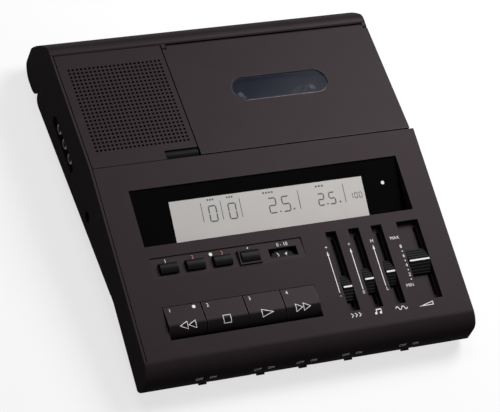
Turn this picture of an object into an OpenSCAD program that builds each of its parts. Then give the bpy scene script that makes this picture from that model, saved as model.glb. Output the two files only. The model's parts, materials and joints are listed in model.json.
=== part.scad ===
// Desktop cassette transcriber: sloping control panel, speaker and hinged
// cassette door on a flat rear top, and a rounded roll along the back.
// Sizes are in millimetres. Places across the width count from the left edge,
// places on the control panel count down the slope from the seam. Both are given
// for the drawn width and panel length, and move with the case when these change.

/* [Case] */
// Width across the front section
case_w = 188; // [184:1:196]
// Amount by which the rear section is narrower at the right side
rear_step = 2; // [1:0.5:3]
// Depth of the flat rear top, from the seam to the roll
rear_d = 72; // [71:0.5:76]
// Length of the sloping control panel, along the slope
panel_l = 107; // [105:1:112]
// Slope of the control panel in degrees
panel_tilt = 8.3; // [7.5:0.1:9.5]
// Radius of the rounded front edge
nose_r = 11.5; // [11:0.25:13]
// Depth of the bottom edge below the centre of the front edge
nose_drop = 8; // [7.5:0.25:9]
// Height of the rear top above the table
top_h = 39; // [39:0.5:44]
// Depth of the parting line below the rear top
part_drop = 28; // [27.5:0.25:29.5]
// Distance of the crease of the underside in front of the seam
kink_d = 64; // [56:1:68]
// Depth of the lower case's rear end below the rear top
keel_drop = 38.5; // [36:0.1:38.7]
// Radius of the lower case's rear edge
keel_r = 5; // [3:0.5:6]
// Wall thickness of the mouldings
wall = 2.2; // [1.8:0.1:2.5]
// Radius of the front right corner seen from above
corner_front_r = 3; // [2:0.5:10]
// Radius of the rear right corner seen from above
corner_rear_r = 9; // [6:0.5:11]
// Radius of the left corners seen from above
corner_left_r = 2.5; // [1:0.5:4]

/* [Roll] */
// Radius of the roll's top edge
roll_top_r = 7; // [6:0.25:8]
// Height of the roll above the flat top
roll_rise = 0.4; // [0.2:0.1:1]
// Radius of the roll's lower edge
roll_low_r = 11.4; // [9:0.2:13]
// Radius of the roll's back between its two edges
roll_back_r = 60; // [45:1:90]
// Distance that the roll reaches behind the flat top
roll_d = 22.5; // [21:0.1:24]
// Depth of the roll's lowest point below the rear top
roll_drop = 38.8; // [37.4:0.2:38.9]
// Radius of the roll's lower front edge
heel_r = 7.4; // [6:0.2:8]

/* [Fits] */
// Gap round parts that move in an opening
move_gap = 0.35; // [0.3:0.05:0.5]
// Gap between fixed parts that lie side by side
seat_gap = 0.1; // [0.05:0.05:0.2]
// Radial clearance of a shaft in its bearing
run_gap = 0.05; // [0.03:0.01:0.08]

/* [Speaker] */
// Width of the left border beside the speaker panel
rim_w = 1.2; // [1:0.1:2]
// Width of the groove along the left border
groove_w = 0.5; // [0.4:0.1:0.8]
// Depth of the groove beside the control panel's left rim
groove_deep = 0.5; // [0.3:0.1:0.8]
// Place of the line between speaker panel and cassette door
split_x = 62.4; // [61:0.2:63]
// Thickness of the speaker panel
panel_t = 2.4; // [2:0.1:2.8]
// Columns of holes in the speaker grille
grille_cols = 23; // [15:1:24]
// Rows of holes in the speaker grille
grille_rows = 23; // [15:1:24]
// Place of the first column of grille holes across the width
grille_x0 = 7.2; // [6.5:0.1:8]
// Place of the last column of grille holes across the width
grille_x1 = 58.6; // [57:0.1:59.5]
// Diameter of the grille holes
grille_hole_d = 1.4; // [1:0.1:1.6]
// Distance of the grille's middle behind the seam
grille_y = 36.2; // [35:0.1:38]
// Clearance beside the loudspeaker's flange
speaker_clear = 2.6; // [1.5:0.1:5]
// Depth of the loudspeaker's basket
speaker_deep = 10; // [8:0.5:11]
// Radius of the loudspeaker's magnet
magnet_r = 14; // [10:0.5:16]
// Height of the loudspeaker's magnet
magnet_h = 6.5; // [5:0.5:7.5]

/* [Cassette door] */
// Thickness of the door
door_t = 2.4; // [2:0.1:2.8]
// Height of the skirt on the door's right side
skirt_h = 10; // [8:0.5:12]
// Thickness of the door's skirt and front lip
skirt_t = 1.8; // [1.4:0.1:2.2]
// Depth of the door's front lip
lip_h = 5; // [4:0.5:6]
// Radius of the hinge bead along the door's rear edge
bead_r = 1.4; // [1.3:0.1:1.6]
// Radius of the hinge pins
pin_r = 0.7; // [0.6:0.05:0.75]
// Length of a hinge pin inside the door
pin_l = 8; // [6:0.5:12]
// Width of a hinge ear
ear_w = 2.4; // [2:0.1:3]
// Place of the cassette's middle across the width
cassette_x = 121.5; // [120:0.5:124]
// Width of a cassette
cassette_w = 100.4; // [100:0.1:101]
// Thickness of a cassette in its holder, with play
cassette_t = 12.4; // [12.2:0.1:13]
// Length of the door window
window_l = 56.6; // [50:0.2:60]
// Width of the door window
window_w = 14.9; // [12:0.1:16]
// Distance of the window's middle behind the seam
window_y = 38; // [36:0.5:40]

/* [Tape deck] */
// Depth of the deck plate's top below the rear top
deck_drop = 18.2; // [18:0.1:19]
// Thickness of the deck plate
deck_t = 1.2; // [1:0.1:1.5]
// Distance between the two reel spindles
hub_pitch = 42.5; // [42:0.1:43]
// Distance of the spindles behind the seam
hub_y = 38; // [37:0.5:39]
// Radius of the reel tables
table_r = 8.5; // [7:0.25:9.5]
// Distance of the capstan to the left of the cassette's middle
capstan_dx = 33.7; // [32:0.1:35]
// Distance of the capstan behind the seam
capstan_y = 57.3; // [56:0.1:58]
// Radius of the capstan shaft
capstan_r = 1; // [0.8:0.05:1.2]
// Radius of the flywheel
flywheel_r = 10.5; // [8.5:0.25:10.5]
// Thickness of the flywheel and of the motor pulley
rim_t = 2.6; // [2:0.1:3]
// Radius of the motor pulley
pulley_r = 3.5; // [3:0.1:4]
// Radius of the motor
motor_r = 12; // [10:0.5:12.5]
// Height of the motor
motor_h = 8.6; // [8:0.1:9]
// Distance of the motor from the right side of the rear section
motor_in = 22.5; // [21.5:0.1:24]
// Distance of the motor behind the seam
motor_y = 56; // [54:0.5:57]
// Thickness of the drive belt
belt_t = 1; // [0.8:0.1:1.2]
// Radius of the pinch roller
pinch_r = 5.5; // [5:0.1:6]
// Travel of the head carriage
head_travel = 6; // [4:0.5:6.5]

/* [Display] */
// Place of the display recess's left end
disp_x = 17.2; // [16:0.1:18]
// Place of the display recess's right end
disp_end_x = 172.2; // [160:0.2:175]
// Distance of the display recess from the seam
disp_at = 14.6; // [13:0.1:16]
// Depth of the display recess along the slope
disp_d = 31.9; // [28:0.1:33]
// Slope of the display lens against the panel, in degrees
lens_tilt = 11; // [8:0.5:12]
// Depth of the lens at the recess's rear edge
lens_back = 0.8; // [0.5:0.1:1.2]
// Thickness of the display lens
lens_t = 1.5; // [1.2:0.1:1.8]
// Place of the liquid crystal panel's left end
lcd_x = 34; // [30:0.5:36]
// Place of the liquid crystal panel's right end
lcd_end_x = 154; // [146:0.5:156]
// Place of the indicator lamp across the width
lamp_x = 161.4; // [160:0.2:164]
// Distance of the indicator lamp from the lens's rear edge
lamp_v = 13.4; // [12:0.1:16]

/* [Buttons and keys] */
// Distance of the small buttons' row from the seam
row_at = 59.7; // [59:0.1:60.5]
// Places of the four small buttons across the width
button_x = [26.8, 41.6, 56.9, 72.2];
// Length of a small button
button_l = 10; // [8:0.1:10.6]
// Depth of a small button along the slope
button_d = 5.6; // [5:0.1:6]
// Height of a small button above the panel
button_h = 1.8; // [1:0.1:2.4]
// Height of the frame round the reset button
guard_h = 1; // [0.6:0.1:1.4]
// Thickness of the frame round the reset button
guard_w = 0.9; // [0.6:0.1:1.2]
// Travel of a small button
button_travel = 0.8; // [0.5:0.1:1]
// Left end of the shallow plate round the buttons
plate_x = 17.9; // [17:0.1:19]
// Right end of the shallow plate round the buttons
plate_end_x = 103.4; // [102.5:0.1:105]
// Depth of the shallow plate at its rear edge
plate_deep = 0.7; // [0.4:0.1:1]
// Depth of the shallow plate along the slope
plate_d = 11.6; // [10.5:0.1:12.5]
// Distance that the row's plate lies behind the middle of its buttons
plate_up = 0.9; // [0.4:0.1:1.4]
// Edges between the four keys across the width
key_x = [17.3, 38.2, 61.7, 82.7, 102.7];
// Distance of the keys' rear edge from the seam
key_at = 80; // [79:0.1:81]
// Depth of the key opening along the slope
key_d = 18; // [16:0.1:19]
// Height of the keys' rear edge above the panel
key_rise = 0.2; // [0.1:0.1:0.6]
// Radius of the keys' rounded front
key_r = 7; // [6:0.1:7.5]
// Distance of the key pivot in front of the time dial's axis
pivot_in = 7.75; // [7.5:0.05:8]
// Depth of the key pivot below the panel
pivot_h = 8; // [7.6:0.1:8.4]
// Radius of the key pivot rod
rod_r = 1.5; // [1.2:0.1:1.6]
// Place of the time dial across the width
dial_x = 91.5; // [90.8:0.1:92]
// Radius of the time dial
dial_r = 9; // [8.5:0.1:9.2]
// Thickness of the time dial
dial_t = 2.4; // [2:0.1:2.6]
// Length of the time dial's window
dial_win_l = 16; // [14:0.2:16.4]
// Depth of the time dial's window along the slope
dial_win_d = 5.3; // [4.5:0.1:5.8]
// Left end of the time dial's window
dial_win_x = 83.5; // [83:0.1:84]
// Left end of the eject button
eject_x = 43.2; // [40:0.2:46]
// Depth of the eject button's notch behind the seam
eject_d = 5.6; // [5:0.1:6.5]
// Depth of the eject button below the rear top
eject_low = 0.5; // [0.4:0.1:1.2]
// Radius of the eject button's rounded top
eject_r = 4.5; // [4:0.25:8]

/* [Sliders] */
// Left edges of the four slider slots
slot_x = [117.8, 131.2, 144.6, 159.7];
// Widths of the four slider slots
slot_w = [6.3, 6.3, 6.3, 13.1];
// Rest places of the four slider knobs, from the seam
knob_at = [84.2, 81.7, 79.4, 75.4];
// Distance of the slots' rear end from the seam
slot_at = 52.4; // [51:0.1:54]
// Distance of the slots' front end from the seam
slot_end_at = 97.7; // [96:0.1:99]
// Depth of the slots below the panel
slot_deep = 4; // [3.5:0.1:4.5]
// Distance of the last slot from the right side of the case
slot_border = 15.2; // [13:0.1:17]
// Distance of the slots' front end from the panel's front end
slot_front = 9.3; // [8:0.1:11]
// Distance of a slot's slit from its right edge
slit_in = 1.6; // [1.4:0.1:2]
// Length of a slider knob along the slope
knob_l = 14; // [11:0.2:14]
// Height of a slider knob above the panel
knob_h = 0.5; // [0.2:0.1:3]
// Drop of a slider knob's ends below its middle
knob_fall = 2.6; // [1.5:0.1:2.8]
// Depth of the grip ridges on a slider knob
ridge_deep = 0.35; // [0.2:0.05:0.5]

/* [Front switches] */
// Places of the five front switches across the width
mode_x = [35, 64, 91.5, 116, 151];
// Direction of the front switches round the front edge, in degrees below level
mode_turn = 25; // [20:1:30]
// Width of a front switch knob
mode_w = 4; // [3:0.1:5]
// Height of a front switch knob
mode_knob_h = 2.6; // [2:0.1:3]
// Travel of a front switch knob
mode_travel = 3.4; // [2:0.1:4]
// Amount by which a front switch knob stands out
mode_out = 0.9; // [0.5:0.1:1.2]

/* [Sockets and feet] */
// Distance of the three jacks behind the seam
jack_y = [22, 31.5, 41];
// Radius of a jack's bore
jack_r = 1.8; // [1.75:0.05:2]
// Depth of the jacks below the rear top
jack_drop = 23; // [22.5:0.1:23.5]
// Depth of the jacks behind the side wall
jack_deep = 11; // [9:0.5:14]
// Width of a jack's body
jack_w = 9; // [7.5:0.1:9.2]
// Length of the jack recess
recess_l = 35; // [32:0.5:38]
// Height of the jack recess
recess_h = 7; // [6:0.1:7.4]
// Distance of the power jack in front of the seam
power_d = 14; // [12:0.5:16]
// Radius of the power jack's bore
power_r = 2.75; // [2.5:0.05:3]
// Radius of a rubber foot
foot_r = 6; // [4:0.5:7]
// Distance of the feet from the middle of the width
foot_x = 70; // [60:1:75]
// Distance of the front feet behind the middle of the front edge
foot_in = 8.2; // [7:0.1:14]
// Distance of the rear feet behind the seam
foot_rear_d = 50; // [40:1:56]
// Radius of a case screw
screw_r = 1.4; // [1.2:0.1:1.5]
// Distance of the case screws from the side of the case
screw_in = 6.5; // [6:0.1:7]

/* [Boards] */
// Depth of the control board below the panel
board_drop = 12; // [11.8:0.1:12.4]
// Thickness of the circuit boards
board_t = 1.6; // [1.2:0.1:1.6]
// Distance of the control board's front edge from the panel's front end
board_in = 3; // [2.5:0.5:5]
// Distance of the control board's rear edge from the seam
board_rear_v = 20; // [18:1:24]
// Distance of the main board's front edge behind the seam
main_front_y = 10; // [8:1:14]
// Distance of the main board's rear edge behind the seam
main_rear_y = 56; // [50:1:58]
// Left end of the control board
board_x = 11; // [10.5:0.1:12]
// Right end of the control board
board_end_x = 177; // [175:0.5:177]

/* [Hidden] */
$fn = 48;
eps = 0.01;
through = 60;
ledge_w = 2;
ledge_t = 2;
rib_t = 2;
post_r = 2.5;
boss_r = 3.2;

case_color = "#3a3739";
black_color = "#161516";
metal_color = "#b9bbbe";
board_color = "#2e5a37";
brass_color = "#a9813f";

xl = -case_w / 2;
xr = case_w / 2;
xrr = xr - rear_step;
draw_w = slot_x[3] + slot_w[3] + slot_border;
draw_l = slot_end_at + slot_front;
function fx(x) = (x / draw_w - 0.5) * case_w;
function pv(v) = v * panel_l / draw_l;

panel_n = [-sin(panel_tilt), cos(panel_tilt)];
panel_end = [-panel_l * cos(panel_tilt), -panel_l * sin(panel_tilt)];
nose_c = panel_end - nose_r * panel_n;
part_z = -part_drop;
kink_y = -kink_d;
keel_d = rear_d - 0.6;
slab_slope = (nose_c[1] - nose_drop - part_z) / (nose_c[0] - kink_y);
function slab_z(y) = part_z + (y - kink_y) * slab_slope;
function keel_z(y) = part_z - (y - kink_y) / (keel_d - kink_y) * (keel_drop - part_drop);
function floor_z(y) = y < kink_y ? slab_z(y) : keel_z(y);

disp_l = fx(disp_end_x) - fx(disp_x);
lcd_l = fx(lcd_end_x) - fx(lcd_x);
plate_l = fx(plate_end_x) - fx(plate_x);
disp_v = pv(disp_at);
row_v = pv(row_at);
key_v = pv(key_at);
knob_v = [for (v = knob_at) pv(v)];
slot_v = pv(slot_at);
slot_l = pv(slot_end_at) - slot_v;
function slit_x(i) = fx(slot_x[i]) + slot_w[i] - slit_in;
foot_front_d = -nose_c[0] - foot_in;
part_line = 0.4;
lap_d = 30;

roll_top = [rear_d + sqrt(pow(roll_top_r, 2) - pow(roll_top_r - roll_rise, 2)), roll_rise - roll_top_r];
roll_low = [rear_d + roll_d - roll_low_r, roll_low_r - roll_drop];
heel_c = [keel_d + part_line + heel_r, heel_r - roll_drop + 0.1];
case_front = nose_c[0] - nose_r;
case_rear = rear_d + roll_d;
seam_y = -(case_front + case_rear) / 2;

hinge_y = rear_d - move_gap - bead_r;
hinge_z = -bead_r;
ear_y = hinge_y - bead_r - move_gap;
door_x = fx(split_x) + move_gap;
part_x = fx(split_x) - rib_t - move_gap;
cass_x = fx(cassette_x);
deck_z = -deck_drop;
deck_low = deck_z - deck_t;
capstan_x = cass_x - capstan_dx;
motor_x = xrr - motor_in;
rim_z = deck_low - motor_h - 0.6 - rim_t;
pinch_y = capstan_y + capstan_r + pinch_r + move_gap + head_travel;
carriage_t = 1;
carriage_z = deck_z + 0.4;
pivot_key_r = rod_r + 1.7;
key_boss_r = rod_r + 1.1;
key_top_v = key_v + move_gap;
key_flat = key_d - key_r - move_gap - 1.25;
key_lift = panel_tilt;
trough_t = 1.2;
slit_w = 1.9;
stem_w = 1.2;
pot_top = board_drop - 4.8;
pot_w = 8;
dial_v = row_v - dial_win_d / 2 + dial_r + 0.2;
pivot_v = dial_v + pivot_in;
dial_top = wall + move_gap;
lens_end = disp_d / cos(lens_tilt) - 2 * seat_gap;
screw_front_y = nose_c[0] + 9.2;
screw_rear_y = 61;

// Placing: the seam between panel and rear top is the working origin.
module at_seam() translate([0, seam_y, top_h]) children();

// On the panel: x to the right, y up the slope, z out of the panel.
module tilt() rotate([panel_tilt, 0, 0]) children();
module on_panel() at_seam() tilt() children();

// On the lens: the panel's axes, tilted once more about the recess's rear edge.
module tilt_lens() translate([0, -disp_v, -lens_back]) rotate([lens_tilt, 0, 0]) children();

// A block between two corners.
module block(a, b) translate(a) cube(b - a);

// A side profile, drawn as depth and height, carried across the width.
module along_x(x0, x1) translate([x0, 0, 0]) rotate([90, 0, 90]) linear_extrude(x1 - x0) children();

// A round rod across the width.
module rod_x(x0, x1, r) translate([x0, 0, 0]) rotate([0, 90, 0]) cylinder(h = x1 - x0, r = r);

// A plate outline with round ends, centred.
module stadium(l, w) {
    square([l - w, w], center = true);
    for (s = [-1, 1]) translate([s * (l - w) / 2, 0]) circle(d = w);
}

// Middle of the large circle that holds two circles and touches both, on the left of the way from a to b.
function holder_c(a, ra, b, rb, big) =
    let (d = b - a, l = norm(d), e = d / l, p = [-e[1], e[0]])
    let (s = (pow(big - ra, 2) - pow(big - rb, 2) + l * l) / (2 * l))
    a + e * s - p * sqrt(pow(big - ra, 2) - s * s);

// Two circles and the rounded band between them, drawn with flats.
back_flats = 8;
module belted(a, ra, b, rb, big) {
    c = holder_c(a, ra, b, rb, big);
    from = atan2(a[1] - c[1], a[0] - c[0]);
    to = atan2(b[1] - c[1], b[0] - c[0]);
    translate(a) circle(r = ra);
    translate(b) circle(r = rb);
    polygon(concat([a], arc_pts(c, big - key_crown, from, to, back_flats), [b]));
}

// Side profile of the case, drawn smaller by t for the hollow.
module case_profile(t) {
    low = t > 0 ? through : 0;
    polygon([
        [rear_d + 1, -t], [t * tan(panel_tilt / 2), -t], nose_c + (nose_r - t) * panel_n,
        nose_c, [nose_c[0], slab_z(nose_c[0]) - low], [kink_y, part_z - low],
        [rear_d, part_z - low], [rear_d, roll_top[1]]
    ]);
    intersection() {
        translate(nose_c) circle(r = nose_r - t);
        polygon([
            [case_front - 1, slab_z(case_front - 1) - low],
            [nose_c[0] + nose_r, slab_z(nose_c[0] + nose_r) - low],
            [nose_c[0] + nose_r, 0], [case_front - 1, 0]
        ]);
    }
    belted(roll_top, roll_top_r - t, roll_low, roll_low_r - t, roll_back_r - t);
    translate(heel_c) circle(r = heel_r - t);
    polygon([
        heel_c, heel_c - [0, heel_r - t - key_crown], roll_low - [0, roll_low_r - t - key_crown], roll_low
    ]);
    polygon([
        [rear_d - 1, roll_top[1]], roll_top, roll_low, heel_c, [rear_d - 0.5, part_z + t / 2]
    ]);
}

// What a round corner of radius r takes off a square one.
module corner_off(r) difference() {
    translate([-1, -1]) square(r + 1);
    translate([r, r]) circle(r = r);
}

// Outline of the case seen from above, drawn smaller by t for the hollow.
module case_plan(t) difference() {
    union() {
        translate([xl + t, case_front + t]) square([case_w - 2 * t, -case_front - 2 * t]);
        translate([xl + t, -wall - 1]) square([case_w - rear_step - 2 * t, case_rear + wall + 1 - t]);
    }
    translate([xr - t, case_front + t]) mirror([1, 0]) corner_off(corner_front_r - t / 2);
    translate([xrr - t, case_rear - t]) rotate(180) corner_off(corner_rear_r - t / 2);
    translate([xl + t, case_front + t]) corner_off(corner_left_r - t / 2);
    translate([xl + t, case_rear - t]) mirror([0, 1]) corner_off(corner_left_r - t / 2);
}

// The case as one filled shape, drawn smaller by t.
module case_mass(t) intersection() {
    along_x(xl + t, xr - t) case_profile(t);
    translate([0, 0, -through]) linear_extrude(2 * through) case_plan(t);
}

// The open rear top for the speaker panel and the door, and the cut for the door's skirt.
module rear_opening() {
    block([xl + rim_w, 0, -max(wall, panel_t) - eps], [xrr + 1, rear_d, roll_rise + 1]);
    block([xrr - wall - 1, 0, -skirt_h], [xrr + 1, ear_y, roll_rise + 1]);
}

// Walls, ledges and ears round the rear openings, clear of the eject button.
module rear_ribs() difference() {
    rear_walls();
    block([fx(eject_x) - 1, 0, shelf_z], [door_x - eps, eject_d + 1, roll_rise]);
}
module rear_walls() {
    panel_low = -panel_t;
    block([xl + wall / 2, -rib_t, deck_z], [xr - wall / 2, 0, -wall / 2]);
    block([part_x, -rib_t, deck_z], [part_x + rib_t, rear_d + rib_t, panel_low]);
    block([xl + wall / 2, 0, panel_low - ledge_t], [ledge_x, rear_d, panel_low]);
    block([xl + wall / 2, -eps, panel_low - ledge_t], [fx(eject_x) - ledge_w, ledge_w, panel_low]);
    block([xl + wall / 2, rear_d - ledge_w, panel_low - ledge_t],
          [part_x + eps, rear_d + ledge_w, panel_low]);
    for (x = [door_x, xrr - ear_w]) along_x(x, x + ear_w) {
        translate([hinge_y, hinge_z]) circle(r = bead_r);
        translate([hinge_y, -2 * bead_r]) square([rear_d - hinge_y + ledge_w, 2 * bead_r]);
    }
}

// The shelf that guides the stem of the eject button.
eject_mid = (fx(eject_x) + part_x) / 2;
eject_stem = 4;
shelf_z = -9;
module eject_shelf() difference() {
    block([eject_mid - eject_stem, -eps, shelf_z - ledge_t], [eject_mid + eject_stem, eject_d + 1, shelf_z]);
    eject_stem_shape(move_gap, through);
}

// The eject button's stem, grown by a gap.
module eject_stem_shape(gap, h) {
    w = eject_stem / 2 + gap;
    d = w / 2 + gap / 2;
    block([eject_mid - w, eject_d / 2 - d, -h], [eject_mid + w, eject_d / 2 + d, -eject_low - 1]);
}

// Walls of the display recess, the slider troughs and the posts under the panel.
well_t = 1.4;
well_deep = lens_back + disp_d * tan(lens_tilt) + lens_t + 1;
posts = [[14, 66], [110.3, 75], [176.5, 49], [110.3, 102]];
module panel_ribs() {
    translate([fx(disp_x) - well_t, -disp_v - disp_d - well_t, -well_deep])
        cube([disp_l + 2 * well_t, disp_d + 2 * well_t, well_deep - wall / 2]);
    for (i = [0:3])
        translate([fx(slot_x[i]) - trough_t, -slot_v - slot_l - trough_t, -slot_deep - trough_t])
            cube([slot_w[i] + 2 * trough_t, slot_l + 2 * trough_t, slot_deep + trough_t - wall / 2]);
    for (p = posts) translate([fx(p[0]), -pv(p[1]), -board_drop])
        cylinder(h = board_drop - wall / 2, r = post_r);
    for (x = [fx(key_x[0]) - rib_t - 0.5, fx(key_x[4]) + 0.5])
        translate([x, -pivot_v - pivot_key_r, -pivot_h - pivot_key_r])
            cube([rib_t, 2 * pivot_key_r, pivot_h + pivot_key_r - wall / 2]);
}

// Openings in the panel, with what passes through them.
module panel_cuts() {
    translate([fx(disp_x), -disp_v - disp_d, -through / 2]) cube([disp_l, disp_d, through]);
    translate([fx(key_x[0]), -key_v - key_d, -through / 2])
        cube([fx(key_x[4]) - fx(key_x[0]), key_d, through]);
    for (i = [0:3]) {
        translate([fx(slot_x[i]), -slot_v - slot_l, -slot_deep]) cube([slot_w[i], slot_l, through]);
        translate([slit_x(i) - slit_w / 2, -slot_v - slot_l + 3, -through / 2])
            cube([slit_w, slot_l - 6, through]);
    }
    for (x = button_x)
        translate([fx(x) - button_l / 2 - move_gap, -row_v - button_d / 2 - move_gap, -wall - 1])
            cube([button_l + 2 * move_gap, button_d + 2 * move_gap, through]);
    translate([fx(dial_win_x), -row_v - dial_win_d / 2, -wall - 1]) cube([dial_win_l, dial_win_d, through]);
    translate([fx(plate_x), -row_v + plate_d / 2 + plate_up, -plate_deep])
        rotate([-atan(plate_deep / plate_d), 0, 0])
            translate([0, -plate_d, 0]) cube([plate_l, plate_d, wall]);
    translate([0, -pivot_v, -pivot_h]) rod_x(xl + wall + 1, fx(key_x[4]) + rib_t + 1, rod_r);
    block([xl + rim_w, -panel_l, -groove_deep], [xl + rim_w + groove_w, eps, 1]);
}

// The slots of the front switches, through the rounded front edge.
module at_mode(i) translate([fx(mode_x[i]), nose_c[0], nose_c[1]]) rotate([mode_turn, 0, 0]) children();
function mode_shift(i) = i == 3 ? 0 : (i % 2 == 0 ? -1 : 1) * mode_travel / 2;
module mode_cuts() for (i = [0:4]) at_mode(i)
    block([-mode_w / 2 - mode_travel / 2 - move_gap, -nose_r - 2, -mode_knob_h / 2 - move_gap],
          [mode_w / 2 + mode_travel / 2 + move_gap, -nose_r + wall + 1, mode_knob_h / 2 + move_gap]);

// The jack recess and the hole of the power jack in the left wall.
power_drop = part_drop - power_r - 1.6;
module side_cuts() {
    translate([xl - 1, (jack_y[0] + jack_y[2]) / 2, -jack_drop]) rotate([90, 0, 90])
        linear_extrude(wall + 2) stadium(recess_l, recess_h);
    translate([0, -power_d, -power_drop]) rod_x(xl - 1, xl + wall + 1, power_r + move_gap);
}

// Where the case screws stand.
head_t = 1;
screw_grip = 6;
screws = [[xl + screw_in, screw_front_y], [xr - screw_in, screw_front_y],
          [xl + screw_in, screw_rear_y], [xrr - screw_in + 0.6, screw_rear_y]];
function boss_z(y) = floor_z(y) + wall + (y < kink_y ? seat_gap + boss_r * abs(slab_slope) : 0.7);
module screw_bosses() for (s = screws) intersection() {
    case_mass(wall / 2);
    union() {
        translate([s[0], s[1], boss_z(s[1])])
            cylinder(h = -boss_z(s[1]) + (s[1] < kink_y ? 0 : deck_low - 1), r = boss_r);
        block([s[0] < 0 ? xl : s[0], s[1] - rib_t / 2, max(boss_z(s[1]), part_z)],
              [s[0] < 0 ? s[0] : xr, s[1] + rib_t / 2, s[1] < kink_y ? 0 : deck_low - 1]);
    }
}
module screw_pilots() for (s = screws)
    translate([s[0], s[1], boss_z(s[1]) - 1]) cylinder(h = 9, r = screw_r);

// The raised frame that keeps the reset button from being pressed by chance.
module reset_guard() translate([fx(button_x[3]), -row_v, -wall]) linear_extrude(wall + guard_h) difference() {
    square([button_l + 2 * (move_gap + guard_w), button_d + 2 * (move_gap + guard_w)], center = true);
    square([button_l + 2 * move_gap, button_d + 2 * move_gap], center = true);
}

module upper_case() color(case_color) at_seam() {
    difference() {
        union() {
            difference() {
                case_mass(0);
                case_mass(wall);
                rear_opening();
            }
            rear_ribs();
            eject_shelf();
            tilt() panel_ribs();
            screw_bosses();
        }
        tilt() panel_cuts();
        mode_cuts();
        side_cuts();
        screw_pilots();
        translate([0, hinge_y, hinge_z]) rod_x(door_x - eps, xrr + eps, pin_r);
    }
    tilt() reset_guard();
}

// Lower case: a wedge-shaped tray behind the crease and a plate under the front.
plate_reach = nose_r - wall - 2 * seat_gap;
plate_root = pow(nose_drop * slab_slope, 2)
    + (1 + slab_slope * slab_slope) * (plate_reach * plate_reach - nose_drop * nose_drop);
plate_front = nose_c[0] - (sqrt(plate_root) - nose_drop * slab_slope) / (1 + slab_slope * slab_slope);
line_y = kink_y + part_line * (keel_d - kink_y) / (keel_drop - part_drop);
keel_way = (keel_drop - part_drop) / (keel_d - kink_y);
keel_c = [keel_d - keel_r, keel_z(keel_d - keel_r) + keel_r * norm([1, keel_way])];
module lower_shape() difference() {
    union() {
        difference() {
            along_x(xl, xrr) polygon(concat(
                [[line_y, part_z - part_line]],
                arc_pts(keel_c, keel_r, -90 - atan(keel_way), 0, 6),
                [[keel_d, part_z - part_line]]
            ));
            along_x(xl + wall, xrr - wall) polygon([
                [kink_y, part_z + wall], [keel_c[0] + 1, keel_z(keel_c[0] + 1) + wall],
                [keel_d - wall, keel_c[1]], [keel_d - wall, part_z + wall]
            ]);
        }
        along_x(xl + wall + 2 * seat_gap, xr - wall - 2 * seat_gap) polygon([
            [plate_front, slab_z(plate_front)], [kink_y, part_z],
            [kink_y + lap_d, keel_z(kink_y + lap_d) + part_line], [kink_y + lap_d, part_z + wall],
            [kink_y, part_z + wall], [plate_front, slab_z(plate_front) + wall]
        ]);
        for (p = main_posts) translate([p[0], p[1], floor_z(p[1]) + wall / 2])
            cylinder(h = main_z - floor_z(p[1]) - wall / 2 - eps, r = post_r);
    }
    translate([xr - wall - 2 * seat_gap, plate_front, -through]) rotate(90)
        linear_extrude(2 * through) corner_off(corner_front_r);
}
module lower_case() color(case_color) at_seam() difference() {
    lower_shape();
    for (s = screws) {
        translate([s[0], s[1], -through]) cylinder(h = through, r = screw_r + seat_gap);
        translate([s[0], s[1], floor_z(s[1]) - through + head_t])
            cylinder(h = through, r = 2 * screw_r + seat_gap);
    }
}

// Case screws, from below.
module case_screws() color(metal_color) at_seam() for (s = screws) translate([s[0], s[1], floor_z(s[1])]) {
    cylinder(h = head_t, r = 2 * screw_r);
    cylinder(h = boss_z(s[1]) - floor_z(s[1]) + screw_grip, r = screw_r);
}

module rubber_feet() color(black_color) at_seam() difference() {
    for (x = [-foot_x, foot_x], y = [-foot_front_d, foot_rear_d])
        translate([x, y, -top_h]) cylinder(h = top_h + floor_z(y) + wall / 2, r = foot_r);
    translate([0, 0, -seat_gap]) along_x(xl, xr) polygon([
        [case_front, slab_z(case_front)], [kink_y, part_z], [keel_d, -keel_drop], [keel_d, 0], [case_front, 0]
    ]);
}

// Speaker panel with its grille.
panel_x0 = xl + rim_w + groove_w;
panel_x1 = fx(split_x) - move_gap;
grille_pitch = (fx(grille_x1) - fx(grille_x0)) / (grille_cols - 1);
grille_mid = (fx(grille_x0) + fx(grille_x1)) / 2;
function grille_at(i, n) = (i - (n - 1) / 2) * grille_pitch;
module panel_face() difference() {
    translate([panel_x0, move_gap]) square([panel_x1 - panel_x0, rear_d - 2 * move_gap]);
    translate([fx(eject_x), 0]) square([split_x, eject_d]);
    translate([grille_mid, grille_y])
        for (i = [0:grille_cols - 1], j = [0:grille_rows - 1])
            translate([grille_at(i, grille_cols), grille_at(j, grille_rows)])
                circle(d = grille_hole_d, $fn = 16);
}
module speaker_panel() color(case_color) at_seam()
    translate([0, 0, -panel_t]) linear_extrude(panel_t) panel_face();

// Loudspeaker: basket, cone and magnet, turned about one axis.
ledge_x = xl + rim_w + groove_w + ledge_w;
speaker_x = (ledge_x + part_x) / 2;
speaker_r = (part_x - ledge_x) / 2 - speaker_clear;
module at_speaker() at_seam() translate([speaker_x, grille_y, -panel_t]) children();
cone_r = speaker_r - 3.5;
basket_t = 1.2;
flange_t = 1.5;
coil_r = 7;
module speaker_basket() color(metal_color) at_speaker() rotate_extrude() polygon([
    [cone_r + 0.3, 0], [speaker_r, 0], [speaker_r, -flange_t], [cone_r + 0.8, -flange_t],
    [magnet_r - 1, -speaker_deep], [magnet_r - 1, -speaker_deep - basket_t],
    [coil_r, -speaker_deep - basket_t], [coil_r, -speaker_deep], [magnet_r - 1 - basket_t, -speaker_deep]
]);
module speaker_cone() color(black_color) at_speaker() rotate_extrude() polygon([
    [cone_r - 1.3, -0.6], [cone_r - 1.3, -1.3], [coil_r, -speaker_deep + 1.4], [0, -speaker_deep + 3.6],
    [0, -speaker_deep + 4.2], [coil_r, -speaker_deep + 2]
]);
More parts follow.
